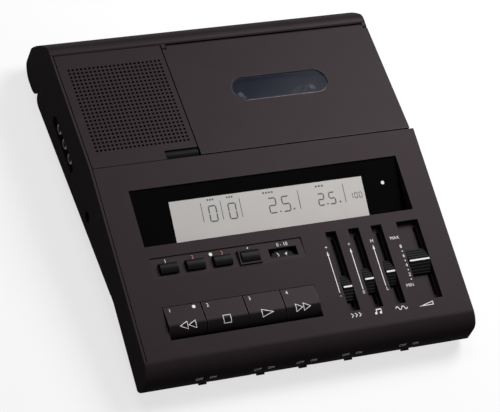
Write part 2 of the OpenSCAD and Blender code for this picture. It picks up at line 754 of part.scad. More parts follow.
module speaker_magnet() color(metal_color) at_speaker()
    translate([0, 0, -speaker_deep - basket_t - magnet_h]) cylinder(h = magnet_h, r = magnet_r);

// Display: glossy lens, liquid crystal panel and lamp, all on the tilted plane.
lamp_h = 3;
lamp_r = 1.5;
lcd_t = 2;
lcd_in = 6;
module display_lens() color(black_color) on_panel() tilt_lens()
    block([fx(disp_x) + seat_gap, -lens_end, -lens_t],
          [fx(disp_x) + disp_l - seat_gap, -seat_gap - lens_t * tan(lens_tilt), 0]);
module lcd_panel() color("#c9c8c3") on_panel() tilt_lens()
    block([fx(lcd_x), -lens_end, -lens_t - lcd_t], [fx(lcd_x) + lcd_l, -lcd_in, -lens_t]);
module record_lamp() color("#a02018") on_panel() tilt_lens()
    translate([fx(lamp_x), -lamp_v, -lens_t - lamp_h]) cylinder(h = lamp_h, r = lamp_r);

// Control board and what stands on it.
module control_board() color(board_color) on_panel()
    block([fx(board_x), board_in - panel_l, -board_drop - board_t],
          [fx(board_end_x), -board_rear_v, -board_drop]);
module slide_pots() color(metal_color) on_panel() for (i = [0:3]) difference() {
    translate([slit_x(i) - pot_w / 2, -slot_v - slot_l, -board_drop])
        cube([pot_w, slot_l, board_drop - pot_top]);
    translate([slit_x(i) - slit_w / 2, -slot_v - slot_l + 2, -board_drop + 2])
        cube([slit_w, slot_l - 4, through]);
}
switch_h = 4;
tact_w = 6;
tact_d = 5;
tip_r = 1.6;
tip_h = 0.8;
key_press_v = 10;
mode_body_h = 4.8;
mode_body_d = 7;
mode_seat = sqrt(pow(nose_r - wall, 2) - pow(mode_body_h / 2, 2));
module button_switches() color(black_color) on_panel() for (x = button_x)
    translate([fx(x), -row_v, -board_drop]) {
        translate([-tact_w / 2, -tact_w / 2, 0]) cube([tact_w, tact_w, switch_h]);
        translate([0, 0, switch_h - eps]) cylinder(h = tip_h, r = tip_r);
    }
module key_switches() color(black_color) on_panel() for (i = [0:3])
    translate([(fx(key_x[i]) + fx(key_x[i + 1]) - tact_w) / 2, -key_v - key_press_v - tact_d / 2,
               -board_drop]) cube([tact_w, tact_d, switch_h]);
module mode_switches() color(metal_color) at_seam() for (i = [0:4]) at_mode(i) difference() {
    block([-mode_w / 2 - mode_travel, seat_gap - mode_seat, -mode_body_h / 2],
          [mode_w / 2 + mode_travel, mode_body_d - nose_r, mode_body_h / 2]);
    block([-mode_w / 2 - mode_travel / 2 - move_gap, -nose_r, -mode_knob_h / 2 - move_gap],
          [mode_w / 2 + mode_travel / 2 + move_gap, -nose_r + wall + 1.6, mode_knob_h / 2 + move_gap]);
}
module dial_pot() color(metal_color) on_panel() translate([fx(dial_x), -dial_v, -board_drop]) difference() {
    cylinder(h = board_drop - dial_top - dial_t - 0.6, r = 3.8);
    translate([0, 0, 1]) cylinder(h = through, r = 1.2 + run_gap);
}

// Main board on its posts, with a few of its larger components.
main_z = part_z - board_t - 0.2;
main_x0 = xl + wall + 1;
main_x1 = part_x - 1;
main_in = 4;
main_posts = [
    for (x = [main_x0 + main_in, main_x1 - main_in], y = [main_front_y + main_in, main_rear_y - main_in]) [x, y]
];
chip = [9, 12, 1.8];
can_r = 2.6;
can_h = 5;
main_w = main_x1 - main_x0;
main_d = main_rear_y - main_front_y;
function main_at(p) = [main_x0 + p[0] * main_w, main_front_y + p[1] * main_d, main_z + board_t - eps];
module main_board() color(board_color) at_seam() {
    block([main_x0, main_front_y, main_z], [main_x1, main_rear_y, main_z + board_t]);
    for (p = [[0.43, 0.2], [0.65, 0.2], [0.43, 0.62]]) translate(main_at(p)) cube(chip);
    for (p = [[0.72, 0.65], [0.86, 0.65], [0.72, 0.83]]) translate(main_at(p)) cylinder(h = can_h, r = can_r);
}

// Sockets on the left side, open to the outside.
jack_rise = 4.6;
jack_end = 1;
module side_jacks() color(black_color) at_seam() for (y = jack_y) difference() {
    block([xl + wall + seat_gap, y - jack_w / 2, part_z],
          [xl + wall + jack_deep, y + jack_w / 2, -jack_drop + jack_rise]);
    translate([0, y, -jack_drop]) rod_x(xl, xl + wall + jack_deep - jack_end, jack_r);
}
module power_jack() color(black_color) at_seam() {
    difference() {
        block([xl + wall + seat_gap, -power_d - 4.5, -power_drop - 4],
              [xl + wall + jack_deep, -power_d + 4.5, -power_drop + 4.5]);
        translate([0, -power_d, -power_drop]) rod_x(xl, xl + wall + jack_deep - 2, power_r);
    }
    translate([0, -power_d, -power_drop]) rod_x(xl + wall + 1, xl + wall + jack_deep - 1, 0.65);
}

// Deck plate with bores for the spindles and guide pins for the head carriage.
guide_dx = 20;
guide_y = 72;
deck_end_y = rear_d + 9;
hubs = [cass_x - hub_pitch / 2, cass_x + hub_pitch / 2];
spindle_r = 1.5;
guide_r = 1.5;
guide_w = 2 * guide_r + 2 * move_gap;
bearing_r = 3;
module deck_plate() color(metal_color) at_seam() {
    difference() {
        block([part_x, -rib_t, deck_low], [xrr - wall - seat_gap, deck_end_y, deck_z]);
        for (x = hubs) translate([x, hub_y, -through]) cylinder(h = through, r = spindle_r + run_gap);
        translate([capstan_x, capstan_y, -through]) cylinder(h = through, r = bearing_r);
    }
    for (s = [-1, 1]) translate([cass_x + s * guide_dx, guide_y, deck_low + eps])
        cylinder(h = carriage_z + carriage_t + 1 - deck_low, r = guide_r);
}
module capstan_bearing() color(brass_color) at_seam() translate([capstan_x, capstan_y, 0]) difference() {
    translate([0, 0, deck_low - 4]) cylinder(h = 4 + deck_t + 1.2, r = bearing_r);
    translate([0, 0, -through]) cylinder(h = through, r = capstan_r + run_gap);
}
module flywheel() color(metal_color) at_seam() translate([capstan_x, capstan_y, rim_z]) {
    cylinder(h = rim_t, r = flywheel_r);
    cylinder(h = -7 - rim_z, r = capstan_r);
}
module motor() color(metal_color) at_seam() translate([motor_x, motor_y, deck_low - motor_h]) difference() {
    cylinder(h = motor_h, r = motor_r);
    translate([0, 0, -1]) cylinder(h = 5, r = capstan_r + run_gap);
}
module motor_pulley() color(brass_color) at_seam() translate([motor_x, motor_y, rim_z]) {
    cylinder(h = rim_t, r = pulley_r);
    cylinder(h = rim_t + 3.5, r = capstan_r);
}
function arc_pts(c, r, from, to, n) =
    [for (i = [0:n]) let (t = from + (to - from) * i / n) c + r * [cos(t), sin(t)]];
function belt_pts(grow) =
    let (a = [capstan_x, capstan_y], b = [motor_x, motor_y], d = b - a)
    let (t = atan2(d[1], d[0]), f = acos((flywheel_r - pulley_r) / norm(d)))
    concat(arc_pts(a, flywheel_r + grow, t + f, t + 360 - f, 40),
           arc_pts(b, pulley_r + grow, t - f, t + f, 16));
module drive_belt() color(black_color) at_seam() translate([0, 0, rim_z + rim_t / 2 - belt_t / 2])
    linear_extrude(belt_t) difference() {
        polygon(belt_pts(run_gap + belt_t));
        polygon(belt_pts(run_gap));
    }

// A reel spindle: table, splined post and a gear under the deck.
post_top = 5.8;
module spindle(x) color("#d8d6d0") at_seam() translate([x, hub_y, 0]) {
    rotate_extrude() polygon([
        [0, -post_top], [1.6, -post_top], [2.8, -post_top - 2.4], [2.8, carriage_z + 1],
        [table_r, carriage_z + 1], [table_r, deck_z + 0.4], [spindle_r, deck_z + 0.4],
        [spindle_r, deck_low - 0.4], [table_r + 1, deck_low - 0.4], [table_r + 1, deck_low - 3],
        [0, deck_low - 3]
    ]);
    for (a = [0:60:300]) rotate(a) translate([0, -0.45, carriage_z + 1 - eps])
        cube([4.2, 0.9, -post_top - 3 - carriage_z - 1]);
}
module supply_spindle() spindle(hubs[1]);
module takeup_spindle() spindle(hubs[0]);

// Head carriage: slides forwards on the deck's guide pins and carries heads and pinch roller.
carriage_side = 6;
carriage_end = 5;
tongue_w = 27;
tongue_d = 8;
module head_carriage() color(metal_color) at_seam() {
    difference() {
        union() {
            block([capstan_x - carriage_side, pinch_y - carriage_side / 2, carriage_z],
                  [cass_x + guide_dx + carriage_end, deck_end_y, carriage_z + carriage_t]);
            block([cass_x - tongue_w / 3, pinch_y - tongue_d, carriage_z],
                  [cass_x + tongue_w * 2 / 3, pinch_y, carriage_z + carriage_t]);
        }
        for (s = [-1, 1]) translate([cass_x + s * guide_dx, guide_y + head_travel / 2, -through / 2])
            linear_extrude(through) rotate(90) stadium(head_travel + guide_w, guide_w);
    }
    translate([capstan_x, pinch_y, carriage_z + eps]) cylinder(h = -6.9 - carriage_z, r = capstan_r);
}
head_y = rear_d - 2.6;
head_z = carriage_z + carriage_t;
module play_head() color(metal_color) at_seam() translate([cass_x, head_y, head_z]) intersection() {
    translate([-6, 0, 0]) cube([12, 7.5, -6.4 - head_z]);
    translate([0, 10, 0]) cylinder(h = through, r = 10);
}
module erase_head() color(black_color) at_seam() translate([cass_x + 14, head_y, head_z]) intersection() {
    translate([-3, 0, 0]) cube([6, 6, -7 - head_z]);
    translate([0, 6, 0]) cylinder(h = through, r = 6);
}
module pinch_roller() color(black_color) at_seam() translate([capstan_x, pinch_y, head_z + 0.5])
    difference() {
        cylinder(h = -7.5 - head_z - 0.5, r = pinch_r);
        translate([0, 0, -1]) cylinder(h = through, r = capstan_r + run_gap);
    }

// Cassette door with its hinge bead, skirt and front lip.
module window_hole(grow) translate([cass_x, window_y]) stadium(window_l + 2 * grow, window_w + 2 * grow);
module cassette_door() color(case_color) at_seam() difference() {
    union() {
        block([door_x, 2 * move_gap, -door_t], [xrr, hinge_y, 0]);
        block([door_x, 2 * move_gap, -lip_h], [xrr, 2 * move_gap + skirt_t, -eps]);
        block([xrr - skirt_t, 2 * move_gap, -skirt_h + move_gap], [xrr, ear_y - move_gap, -eps]);
        translate([0, hinge_y, hinge_z]) rod_x(door_x, xrr, bead_r);
    }
    for (x = [door_x - 1, xrr - ear_w - move_gap])
        block([x, ear_y, -through], [x + ear_w + 1 + move_gap, rear_d, 1]);
    translate([0, hinge_y, hinge_z]) {
        rod_x(door_x, door_x + ear_w + pin_l + 1, pin_r + run_gap);
        rod_x(xrr - ear_w - pin_l - 1, xrr, pin_r + run_gap);
    }
    translate([0, 0, -through]) linear_extrude(2 * through) window_hole(0);
}
module door_hinge_pins() color(metal_color) at_seam() translate([0, hinge_y, hinge_z]) {
    rod_x(door_x, door_x + ear_w + pin_l, pin_r);
    rod_x(xrr - ear_w - pin_l, xrr, pin_r);
}
window_t = 0.8;
window_sunk = 0.6;
module door_window() color("#2f3840") at_seam() {
    translate([0, 0, -door_t - window_t / 2]) linear_extrude(door_t + window_t / 2 - window_sunk)
        window_hole(-seat_gap);
    translate([0, 0, -door_t - window_t]) linear_extrude(window_t) window_hole(2);
}

// Two rails under the door that hold the cassette by its ends.
rail_t = 1.5;
rail_y0 = 6;
rail_y1 = 63;
module rail() {
    h = cassette_t + 1;
    block([0, rail_y0, -door_t - h], [rail_t, rail_y1, -door_t]);
    block([0, rail_y0, -door_t - h], [rail_t + 2.5, rail_y1, -door_t - h + 0.9]);
    block([0, rail_y0, -door_t - 1.2], [rail_t + 4, rail_y1, -door_t]);
}
module cassette_holder() color(black_color) at_seam() for (s = [0, 1])
    translate([cass_x, 0, 0]) mirror([s, 0, 0]) translate([-cassette_w / 2 - 0.4 - rail_t, 0, 0]) rail();

// Eject button in the corner of the speaker panel.
module eject_button() color(black_color) at_seam() {
    intersection() {
        block([fx(eject_x) + move_gap, 2 * move_gap, -eject_low - 2.6],
              [panel_x1, eject_d - move_gap, -eject_low + 1]);
        translate([0, eject_d * 0.7, -eject_low - eject_r]) rod_x(fx(eject_x), panel_x1 + 1, eject_r);
    }
    eject_stem_shape(0, -shelf_z + 4);
}

// A transport key: level top, rounded front and an arm to the pivot rod.
key_arm_h = 2.4;
key_arm_v = key_top_v + 6;
key_crown = 0.02;
key_arm_in = 0.6;
module key_cap(x0, x1) difference() {
    block([x0, -key_flat - key_r - 1, -key_r], [x1, 0, 0]);
    difference() {
        block([x0 - 1, -key_flat - key_r - 2, -key_r - 1], [x1 + 1, -key_flat, 1]);
        translate([0, -key_flat, key_crown - key_r]) rod_x(x0 - 2, x1 + 2, key_r);
    }
}
module key_arm() polygon([
    [-key_arm_v, key_arm_h - pivot_h], [-key_arm_v, 2 * key_arm_h - pivot_h],
    [-pivot_v, key_arm_h - pivot_h - eps], [-pivot_v, -key_arm_h - pivot_h + eps]
]);
module key(i) color(case_color) on_panel() {
    x0 = fx(key_x[i]) + move_gap;
    x1 = fx(key_x[i + 1]) - move_gap;
    difference() {
        union() {
            translate([0, -key_top_v, key_rise]) rotate([-key_lift, 0, 0]) key_cap(x0, x1);
            along_x(x0 + key_arm_in, x1 - key_arm_in) key_arm();
            translate([0, -pivot_v, -pivot_h]) rod_x(x0 + key_arm_in / 2, x1 - key_arm_in / 2, key_boss_r);
        }
        translate([0, -pivot_v, -pivot_h]) rod_x(x0 - 1, x1 + 1, rod_r + run_gap);
    }
}
module rewind_key() key(0);
module stop_key() key(1);
module listen_key() key(2);
module forward_key() key(3);
module key_pivot_rod() color(metal_color) on_panel() translate([0, -pivot_v, -pivot_h])
    rod_x(fx(key_x[0]) - rib_t - 0.5, fx(key_x[4]) + rib_t + 0.5, rod_r);

// A small push button with a rounded top, a flange under the panel and a stem.
brim_t = 1.5;
module button_cap(x) color(black_color) on_panel() translate([fx(x), -row_v, 0]) {
    intersection() {
        translate([-button_l / 2, -button_d / 2, -wall - brim_t])
            cube([button_l, button_d, wall + brim_t + button_h]);
        translate([0, 0, button_h - 8]) rod_x(-button_l, button_l, 8);
    }
    translate([-button_l / 2 - 1, -button_d / 2 - 1, -wall - brim_t])
        cube([button_l + 2, button_d + 2, brim_t - move_gap]);
    translate([0, 0, -board_drop + switch_h + tip_h + button_travel + move_gap]) cylinder(h = 5, r = tip_r);
}
module scan_button() button_cap(button_x[0]);
module record_button() button_cap(button_x[1]);
module erase_button() button_cap(button_x[2]);
module reset_button() button_cap(button_x[3]);

// Time dial: a flat disc under its window, turned with a finger tip.
module time_dial() color(black_color) on_panel() translate([fx(dial_x), -dial_v, -dial_top - dial_t]) {
    difference() {
        cylinder(h = dial_t, r = dial_r);
        for (a = [0:15:345]) rotate(a) translate([dial_r, 0, -1]) cylinder(h = through, r = 0.5);
    }
    translate([0, 0, -3]) cylinder(h = 3 + eps, r = 1.2);
}

// A slider knob with two sloping faces, a base in the slot and a stem to its track.
knob_base = slot_deep - move_gap;
crest_w = 1.8;
ridges = 4;
stem_d = 3;
stem_in = 1.2;
function ridge_pts(a, b) =
    [for (k = [0:2 * ridges]) a + (b - a) * k / (2 * ridges) - [0, (k % 2) * ridge_deep]];
module knob(i) color(black_color) on_panel() translate([fx(slot_x[i]) + slot_w[i] / 2, -knob_v[i], 0]) {
    w = slot_w[i] - 2 * move_gap;
    along_x(-w / 2, w / 2) polygon(concat(
        [[-knob_l / 2, -knob_base], [knob_l / 2, -knob_base]],
        ridge_pts([knob_l / 2, knob_h - knob_fall], [crest_w / 2, knob_h]),
        ridge_pts([-crest_w / 2, knob_h], [-knob_l / 2, knob_h - knob_fall])
    ));
    translate([slot_w[i] / 2 - slit_in - stem_w / 2, -stem_d / 2, -pot_top - stem_in])
        cube([stem_w, stem_d, pot_top + stem_in - knob_base + eps]);
}
module speed_knob() knob(0);
module pitch_knob() knob(1);
module tone_knob() knob(2);
module volume_knob() knob(3);

// A front switch knob, standing out of its slot in the front edge.
module mode_knob(i) color(black_color) at_seam() at_mode(i) translate([mode_shift(i), 0, 0])
    block([-mode_w / 2, -nose_r - mode_out, -mode_knob_h / 2],
          [mode_w / 2, -nose_r + wall + 1, mode_knob_h / 2]);
module standby_switch() mode_knob(0);
module speaker_switch() mode_knob(1);
module stop_switch() mode_knob(2);
module control_switch() mode_knob(3);
module tape_switch() mode_knob(4);

upper_case();
lower_case();
speaker_panel();
speaker_basket();
speaker_cone();
speaker_magnet();
display_lens();
lcd_panel();
record_lamp();
control_board();
main_board();
slide_pots();
button_switches();
key_switches();
mode_switches();
dial_pot();
side_jacks();
power_jack();
deck_plate();
capstan_bearing();
motor();
drive_belt();
key_pivot_rod();
door_hinge_pins();
case_screws();
rubber_feet();
cassette_door();
door_window();
cassette_holder();
eject_button();
rewind_key();
stop_key();
listen_key();
forward_key();
scan_button();
record_button();
erase_button();
reset_button();
time_dial();
speed_knob();
pitch_knob();
tone_knob();
volume_knob();
standby_switch();
speaker_switch();
stop_switch();
control_switch();
tape_switch();
supply_spindle();
takeup_spindle();
flywheel();
motor_pulley();
head_carriage();
play_head();
erase_head();
pinch_roller();
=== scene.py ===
"""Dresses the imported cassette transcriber: rounded mouldings, finishes, printed marks, display and stage.

Lengths in the property groups are metres. Places on the machine are millimetres, counted as its maker
would: x from the left edge, s down the control panel from the seam, lift out of the surface.
"""
import json
import math

import bmesh
import bpy
import numpy as np
from mathutils import Matrix, Vector


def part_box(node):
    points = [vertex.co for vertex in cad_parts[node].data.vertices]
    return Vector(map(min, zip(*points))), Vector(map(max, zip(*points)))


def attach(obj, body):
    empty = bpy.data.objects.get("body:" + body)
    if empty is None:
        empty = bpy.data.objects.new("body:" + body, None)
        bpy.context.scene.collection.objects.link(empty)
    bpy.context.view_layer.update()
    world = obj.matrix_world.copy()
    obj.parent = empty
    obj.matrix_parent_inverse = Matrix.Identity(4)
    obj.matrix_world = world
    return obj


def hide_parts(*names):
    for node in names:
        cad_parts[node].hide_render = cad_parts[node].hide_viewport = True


bl_info = {
    "name": "Cassette transcriber",
    "version": (1, 0, 0),
    "blender": (4, 5, 0),
    "location": "View3D > Sidebar > Transcriber",
    "description": "Rounds, finishes and prints a desktop cassette transcriber around its packed frame",
    "category": "Object",
}

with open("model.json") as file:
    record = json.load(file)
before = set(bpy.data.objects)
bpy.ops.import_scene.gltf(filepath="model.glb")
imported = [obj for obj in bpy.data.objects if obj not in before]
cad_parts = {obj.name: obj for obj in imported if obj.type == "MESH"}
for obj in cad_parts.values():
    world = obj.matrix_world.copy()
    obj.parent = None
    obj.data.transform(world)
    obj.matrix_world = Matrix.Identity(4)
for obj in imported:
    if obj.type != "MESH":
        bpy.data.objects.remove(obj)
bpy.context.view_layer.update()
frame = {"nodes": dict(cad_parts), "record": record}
MM = 0.001

# The machine's main planes: the left edge, the seam and the rear top read from the frame, the slopes and sizes
# given.
LEFT_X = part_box("upper_case")[0][0]
SEAM_GAP = 0.35 * MM
SEAM_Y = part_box("speaker_panel")[0][1] - SEAM_GAP
SEAM_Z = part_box("speaker_panel")[1][2]
PANEL_TILT = math.radians(8.3)
PANEL_LENGTH = 107.0
NOSE_RADIUS = 11.5
LENS_TILT = math.radians(11.0)
LENS_START = 14.6
LENS_BACK = 0.8
KEY_REAR = 80.35
KEY_RISE = 0.2
KEY_FLAT = 9.4
KEY_RADIUS = 7.0

# The photograph's camera, in the part's frame.
CAMERA_PLACE = (-0.5358, -0.61495, 1.0678)
CAMERA_RIGHT = (0.9071, -0.3174, 0.2763)
CAMERA_UP = (0.1259, 0.8313, 0.5414)
CAMERA_BACK = (-0.4015, -0.4564, 0.794)
CAMERA_LENS = 180.0
CAMERA_SENSOR = 36.0
CAMERA_REACH = 20.0

# A face whose normal's upward share is above this lies about level and has the satin finish. The faces that
# lean further get a shaded copy of the same moulding without its sheen, which paints shade on the roll, the
# front edge and the sides.
LEVEL_FACE = 0.975
LEVEL_SLOT, HIGHLIGHT_RIM_SLOT, SHADED_FACE_SLOT = 0, 1, 2

# Rounded copies: how near vertices merge, which edges go as flat, which are rounded, how faces shade.
MERGE_DISTANCE = 2e-7
FLAT_ANGLE = math.radians(0.6)
EDGE_ANGLE = math.radians(32.0)
SHADING_WEIGHT = 60

KEYS = ("rewind_key", "stop_key", "listen_key", "forward_key")
BUTTONS = ("scan_button", "record_button", "erase_button", "reset_button")
KNOBS = ("speed_knob", "pitch_knob", "tone_knob", "volume_knob")
SWITCHES = ("standby_switch", "speaker_switch", "stop_switch", "control_switch", "tape_switch")


class TranscriberLooks(bpy.types.PropertyGroup):
    """Colours of the machine's finishes."""

    case: bpy.props.FloatVectorProperty(
        name="Case", description="Warm charcoal of the mouldings", subtype="COLOR", size=3,
        default=(0.0225, 0.0176, 0.0200))
    key: bpy.props.FloatVectorProperty(
        name="Keys", description="Darker charcoal of the four keys", subtype="COLOR", size=3,
        default=(0.0130, 0.0102, 0.0116))
    black: bpy.props.FloatVectorProperty(
        name="Black", description="Black of the knobs and buttons", subtype="COLOR", size=3,
        default=(0.0045, 0.0043, 0.0047))
    gloss: bpy.props.FloatVectorProperty(
        name="Gloss black", description="Black of the display's lens", subtype="COLOR", size=3,
        default=(0.002, 0.0019, 0.002))
    print_white: bpy.props.FloatVectorProperty(
        name="White print", description="White of the printed marks", subtype="COLOR", size=3,
        default=(0.78, 0.77, 0.75))
    print_accent: bpy.props.FloatVectorProperty(
        name="Accent print", description="Orange red of the marks over two buttons", subtype="COLOR", size=3,
        default=(0.50, 0.12, 0.05))
    display: bpy.props.FloatVectorProperty(
        name="Display", description="Pale ground of the liquid crystal display", subtype="COLOR", size=3,
        default=(0.555, 0.534, 0.518))
    segment: bpy.props.FloatVectorProperty(
        name="Segments", description="Grey of the display's figures", subtype="COLOR", size=3,
        default=(0.045, 0.05, 0.06))
    window: bpy.props.FloatVectorProperty(
        name="Window", description="Smoke colour of the door window", subtype="COLOR", size=3,
        default=(0.024, 0.027, 0.044))


class TranscriberSizes(bpy.types.PropertyGroup):
    """Small sizes that the dressing adds."""

    case_edge: bpy.props.FloatProperty(
        name="Case edge", description="Rounding of the case's edges", default=0.35 * MM, unit="LENGTH")
    door_edge: bpy.props.FloatProperty(
        name="Door edge", description="Rounding of the door's edges", default=0.5 * MM, unit="LENGTH")
    key_edge: bpy.props.FloatProperty(
        name="Key edge", description="Rounding of the keys' edges", default=0.35 * MM, unit="LENGTH")
    button_edge: bpy.props.FloatProperty(
        name="Button edge", description="Rounding of the small buttons' edges", default=0.7 * MM, unit="LENGTH")
    knob_edge: bpy.props.FloatProperty(
        name="Knob edge", description="Rounding of the slider knobs' edges", default=0.3 * MM, unit="LENGTH")
    print_lift: bpy.props.FloatProperty(
        name="Print lift", description="Height of the printed marks above the surface", default=0.04 * MM,
        unit="LENGTH")
    line: bpy.props.FloatProperty(
        name="Line", description="Width of printed lines", default=0.42 * MM, unit="LENGTH")


def looks():
    """The colours of this scene."""
    return bpy.context.scene.transcriber_looks


def sizes():
    """The small sizes of this scene."""
    return bpy.context.scene.transcriber_sizes


# Places on the machine.

def to_frame(x, y, z):
    """Millimetres from the left edge, the seam and the rear top to metres in the frame."""
    return np.stack([LEFT_X + x * MM, SEAM_Y + y * MM, SEAM_Z + z * MM], axis=-1)


def panel_place(x, v, h):
    """A point v down the panel's slope and h out of it: the plane through the seam, turned by the tilt."""
    c, s = math.cos(PANEL_TILT), math.sin(PANEL_TILT)
    return to_frame(x, -v * c - h * s, -v * s + h * c)


def panel_surface(x, s, lift):
    """The panel and the front edge: a plane as far as the panel reaches, then an arc about the edge's axis."""
    turn = np.maximum(s - PANEL_LENGTH, 0) / NOSE_RADIUS
    reach = NOSE_RADIUS + lift
    v = np.minimum(s, PANEL_LENGTH) + reach * np.sin(turn)
    return panel_place(x, v, reach * np.cos(turn) - NOSE_RADIUS)


def key_surface(x, s, lift):
    """A key's top, s from its rear edge: level as far as its bend, then a quarter circle down its front."""
    turn = np.maximum(s - KEY_FLAT, 0) / KEY_RADIUS
    reach = KEY_RADIUS + lift
    y = -np.minimum(s, KEY_FLAT) - reach * np.sin(turn)
    z = reach * np.cos(turn) - KEY_RADIUS
    return panel_place(x, KEY_REAR + 0 * x, KEY_RISE) + np.stack([0 * y, y, z], axis=-1) * MM


def lens_surface(x, s, lift):
    """The sloping lens: a plane turned about the rear edge of its recess."""
    c, n = math.cos(LENS_TILT), math.sin(LENS_TILT)
    return panel_place(x, LENS_START + s * c + lift * n, -LENS_BACK - s * n + lift * c)


# Flat shapes for print: each gives points (x, s) and faces.

def bar(x0, s0, x1, s1, width):
    """A straight line of the given width: its two ends moved half the width to each side."""
    a, b = np.array([x0, s0], float), np.array([x1, s1], float)
    d = (b - a) / np.linalg.norm(b - a)
    n = np.array([-d[1], d[0]]) * width / 2
    return np.array([a - n, b - n, b + n, a + n]), [(0, 1, 2, 3)]


def disc(x, s, r, count=20):
    """A filled circle as a fan of points at even angles."""
    t = np.linspace(0, 2 * math.pi, count, endpoint=False)
    return np.stack([x + r * np.cos(t), s + r * np.sin(t)], axis=1), [tuple(range(count))]


def outline(points, width, step=0.6):
    """A closed line round a convex outline: short steps along it, joined by quads to a smaller copy of it."""
    corners = np.array(points, float)
    edges = np.roll(corners, -1, axis=0) - corners
    counts = np.ceil(np.linalg.norm(edges, axis=1) / step).astype(int)
    p = np.concatenate([a + np.arange(n)[:, None] / n * e for a, e, n in zip(corners, edges, counts)])
    e = np.roll(p, -1, axis=0) - p
    e /= np.linalg.norm(e, axis=1)[:, None]
    back = np.roll(e, 1, axis=0)
    area = np.sum(p[:, 0] * np.roll(p[:, 1], -1) - p[:, 1] * np.roll(p[:, 0], -1))
    n = np.stack([-e[:, 1], e[:, 0]], axis=1) * math.copysign(1, area)
    m = np.stack([-back[:, 1], back[:, 0]], axis=1) * math.copysign(1, area)
    inner = p + (n + m) / (1 + np.sum(n * m, axis=1))[:, None] * width
    k = len(p)
    return np.concatenate([p, inner]), [(i, (i + 1) % k, k + (i + 1) % k, k + i) for i in range(k)]


def polygon(points):
    """A filled outline."""
    return np.array(points, float), [tuple(range(len(points)))]


# The height of a capital in the built-in face, as a share of its size.
CAPITAL_SHARE = 0.7


def words(text, x, s, height, turn=0.0):
    """Figures or letters set from the built-in face, centred at a place, their height along the slope."""
    curve = bpy.data.curves.new("figures", "FONT")
    curve.body = text
    curve.align_x = "CENTER"
    curve.align_y = "CENTER"
    curve.size = height / CAPITAL_SHARE
    curve.resolution_u = 3
    holder = bpy.data.objects.new("figures", curve)
    mesh = bpy.data.meshes.new_from_object(holder)
    p = vertex_places(mesh)[:, :2]
    c, n = math.cos(turn), math.sin(turn)
    places = np.stack([x + p[:, 0] * c - p[:, 1] * n, s - p[:, 0] * n - p[:, 1] * c], axis=1)
    faces = [tuple(f.vertices) for f in mesh.polygons]
    bpy.data.objects.remove(holder)
    bpy.data.curves.remove(curve)
    bpy.data.meshes.remove(mesh)
    return places, faces


SEGMENTS = {"0": "abcdef", "1": "bc", "2": "abged", "5": "afgcd"}


def seven_segments(figure, x, s, w, h, width):
    """A display figure: the bars of its lit segments round an upright oblong and across its middle."""
    left, right, top, mid, low = x - w / 2, x + w / 2, s - h / 2, s, s + h / 2
    gap = width * 0.4
    ends = {
        "a": (left + gap, top, right - gap, top), "g": (left + gap, mid, right - gap, mid),
        "d": (left + gap, low, right - gap, low), "f": (left, top + gap, left, mid - gap),
        "b": (right, top + gap, right, mid - gap), "e": (left, mid + gap, left, low - gap),
        "c": (right, mid + gap, right, low - gap),
    }
    return [bar(*ends[name], width) for name in SEGMENTS[figure]]


# Meshes and materials.

def face_normals(mesh):
    """The normals of a mesh's faces as rows."""
    flat = np.empty(len(mesh.polygons) * 3)
    mesh.polygons.foreach_get("normal", flat)
    return flat.reshape(-1, 3)


def vertex_places(mesh):
    """The places of a mesh's vertices as rows."""
    flat = np.empty(len(mesh.vertices) * 3)
    mesh.vertices.foreach_get("co", flat)
    return flat.reshape(-1, 3)


def surface_mesh(name, shapes, place, lift, material, body):
    """One object from flat shapes: their points carried onto a surface, their faces turned outwards."""
    points, faces, start = [], [], 0
    for p, f in shapes:
        points.append(p)
        faces += [tuple(start + i for i in face) for face in f]
        start += len(p)
    flat = np.concatenate(points)
    co = place(flat[:, 0], flat[:, 1], lift / MM)
    mesh = bpy.data.meshes.new(name)
    mesh.from_pydata(co.tolist(), [], faces)
    out = place(flat[:1, 0], flat[:1, 1], 1.0)[0] - place(flat[:1, 0], flat[:1, 1], 0.0)[0]
    mesh.update()
    wrong = np.nonzero(face_normals(mesh) @ out < 0)[0]
    bm = bmesh.new()
    bm.from_mesh(mesh)
    bm.faces.ensure_lookup_table()
    bmesh.ops.reverse_faces(bm, faces=[bm.faces[i] for i in wrong])
    bm.to_mesh(mesh)
    bm.free()
    return place_piece(name, mesh, material, body)


def place_piece(name, mesh, material, body):
    """A finished mesh as a piece that rides on a body."""
    mesh.materials.append(material)
    piece = bpy.data.objects.new(name, mesh)
    bpy.context.scene.collection.objects.link(piece)
    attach(piece, body)
    return piece


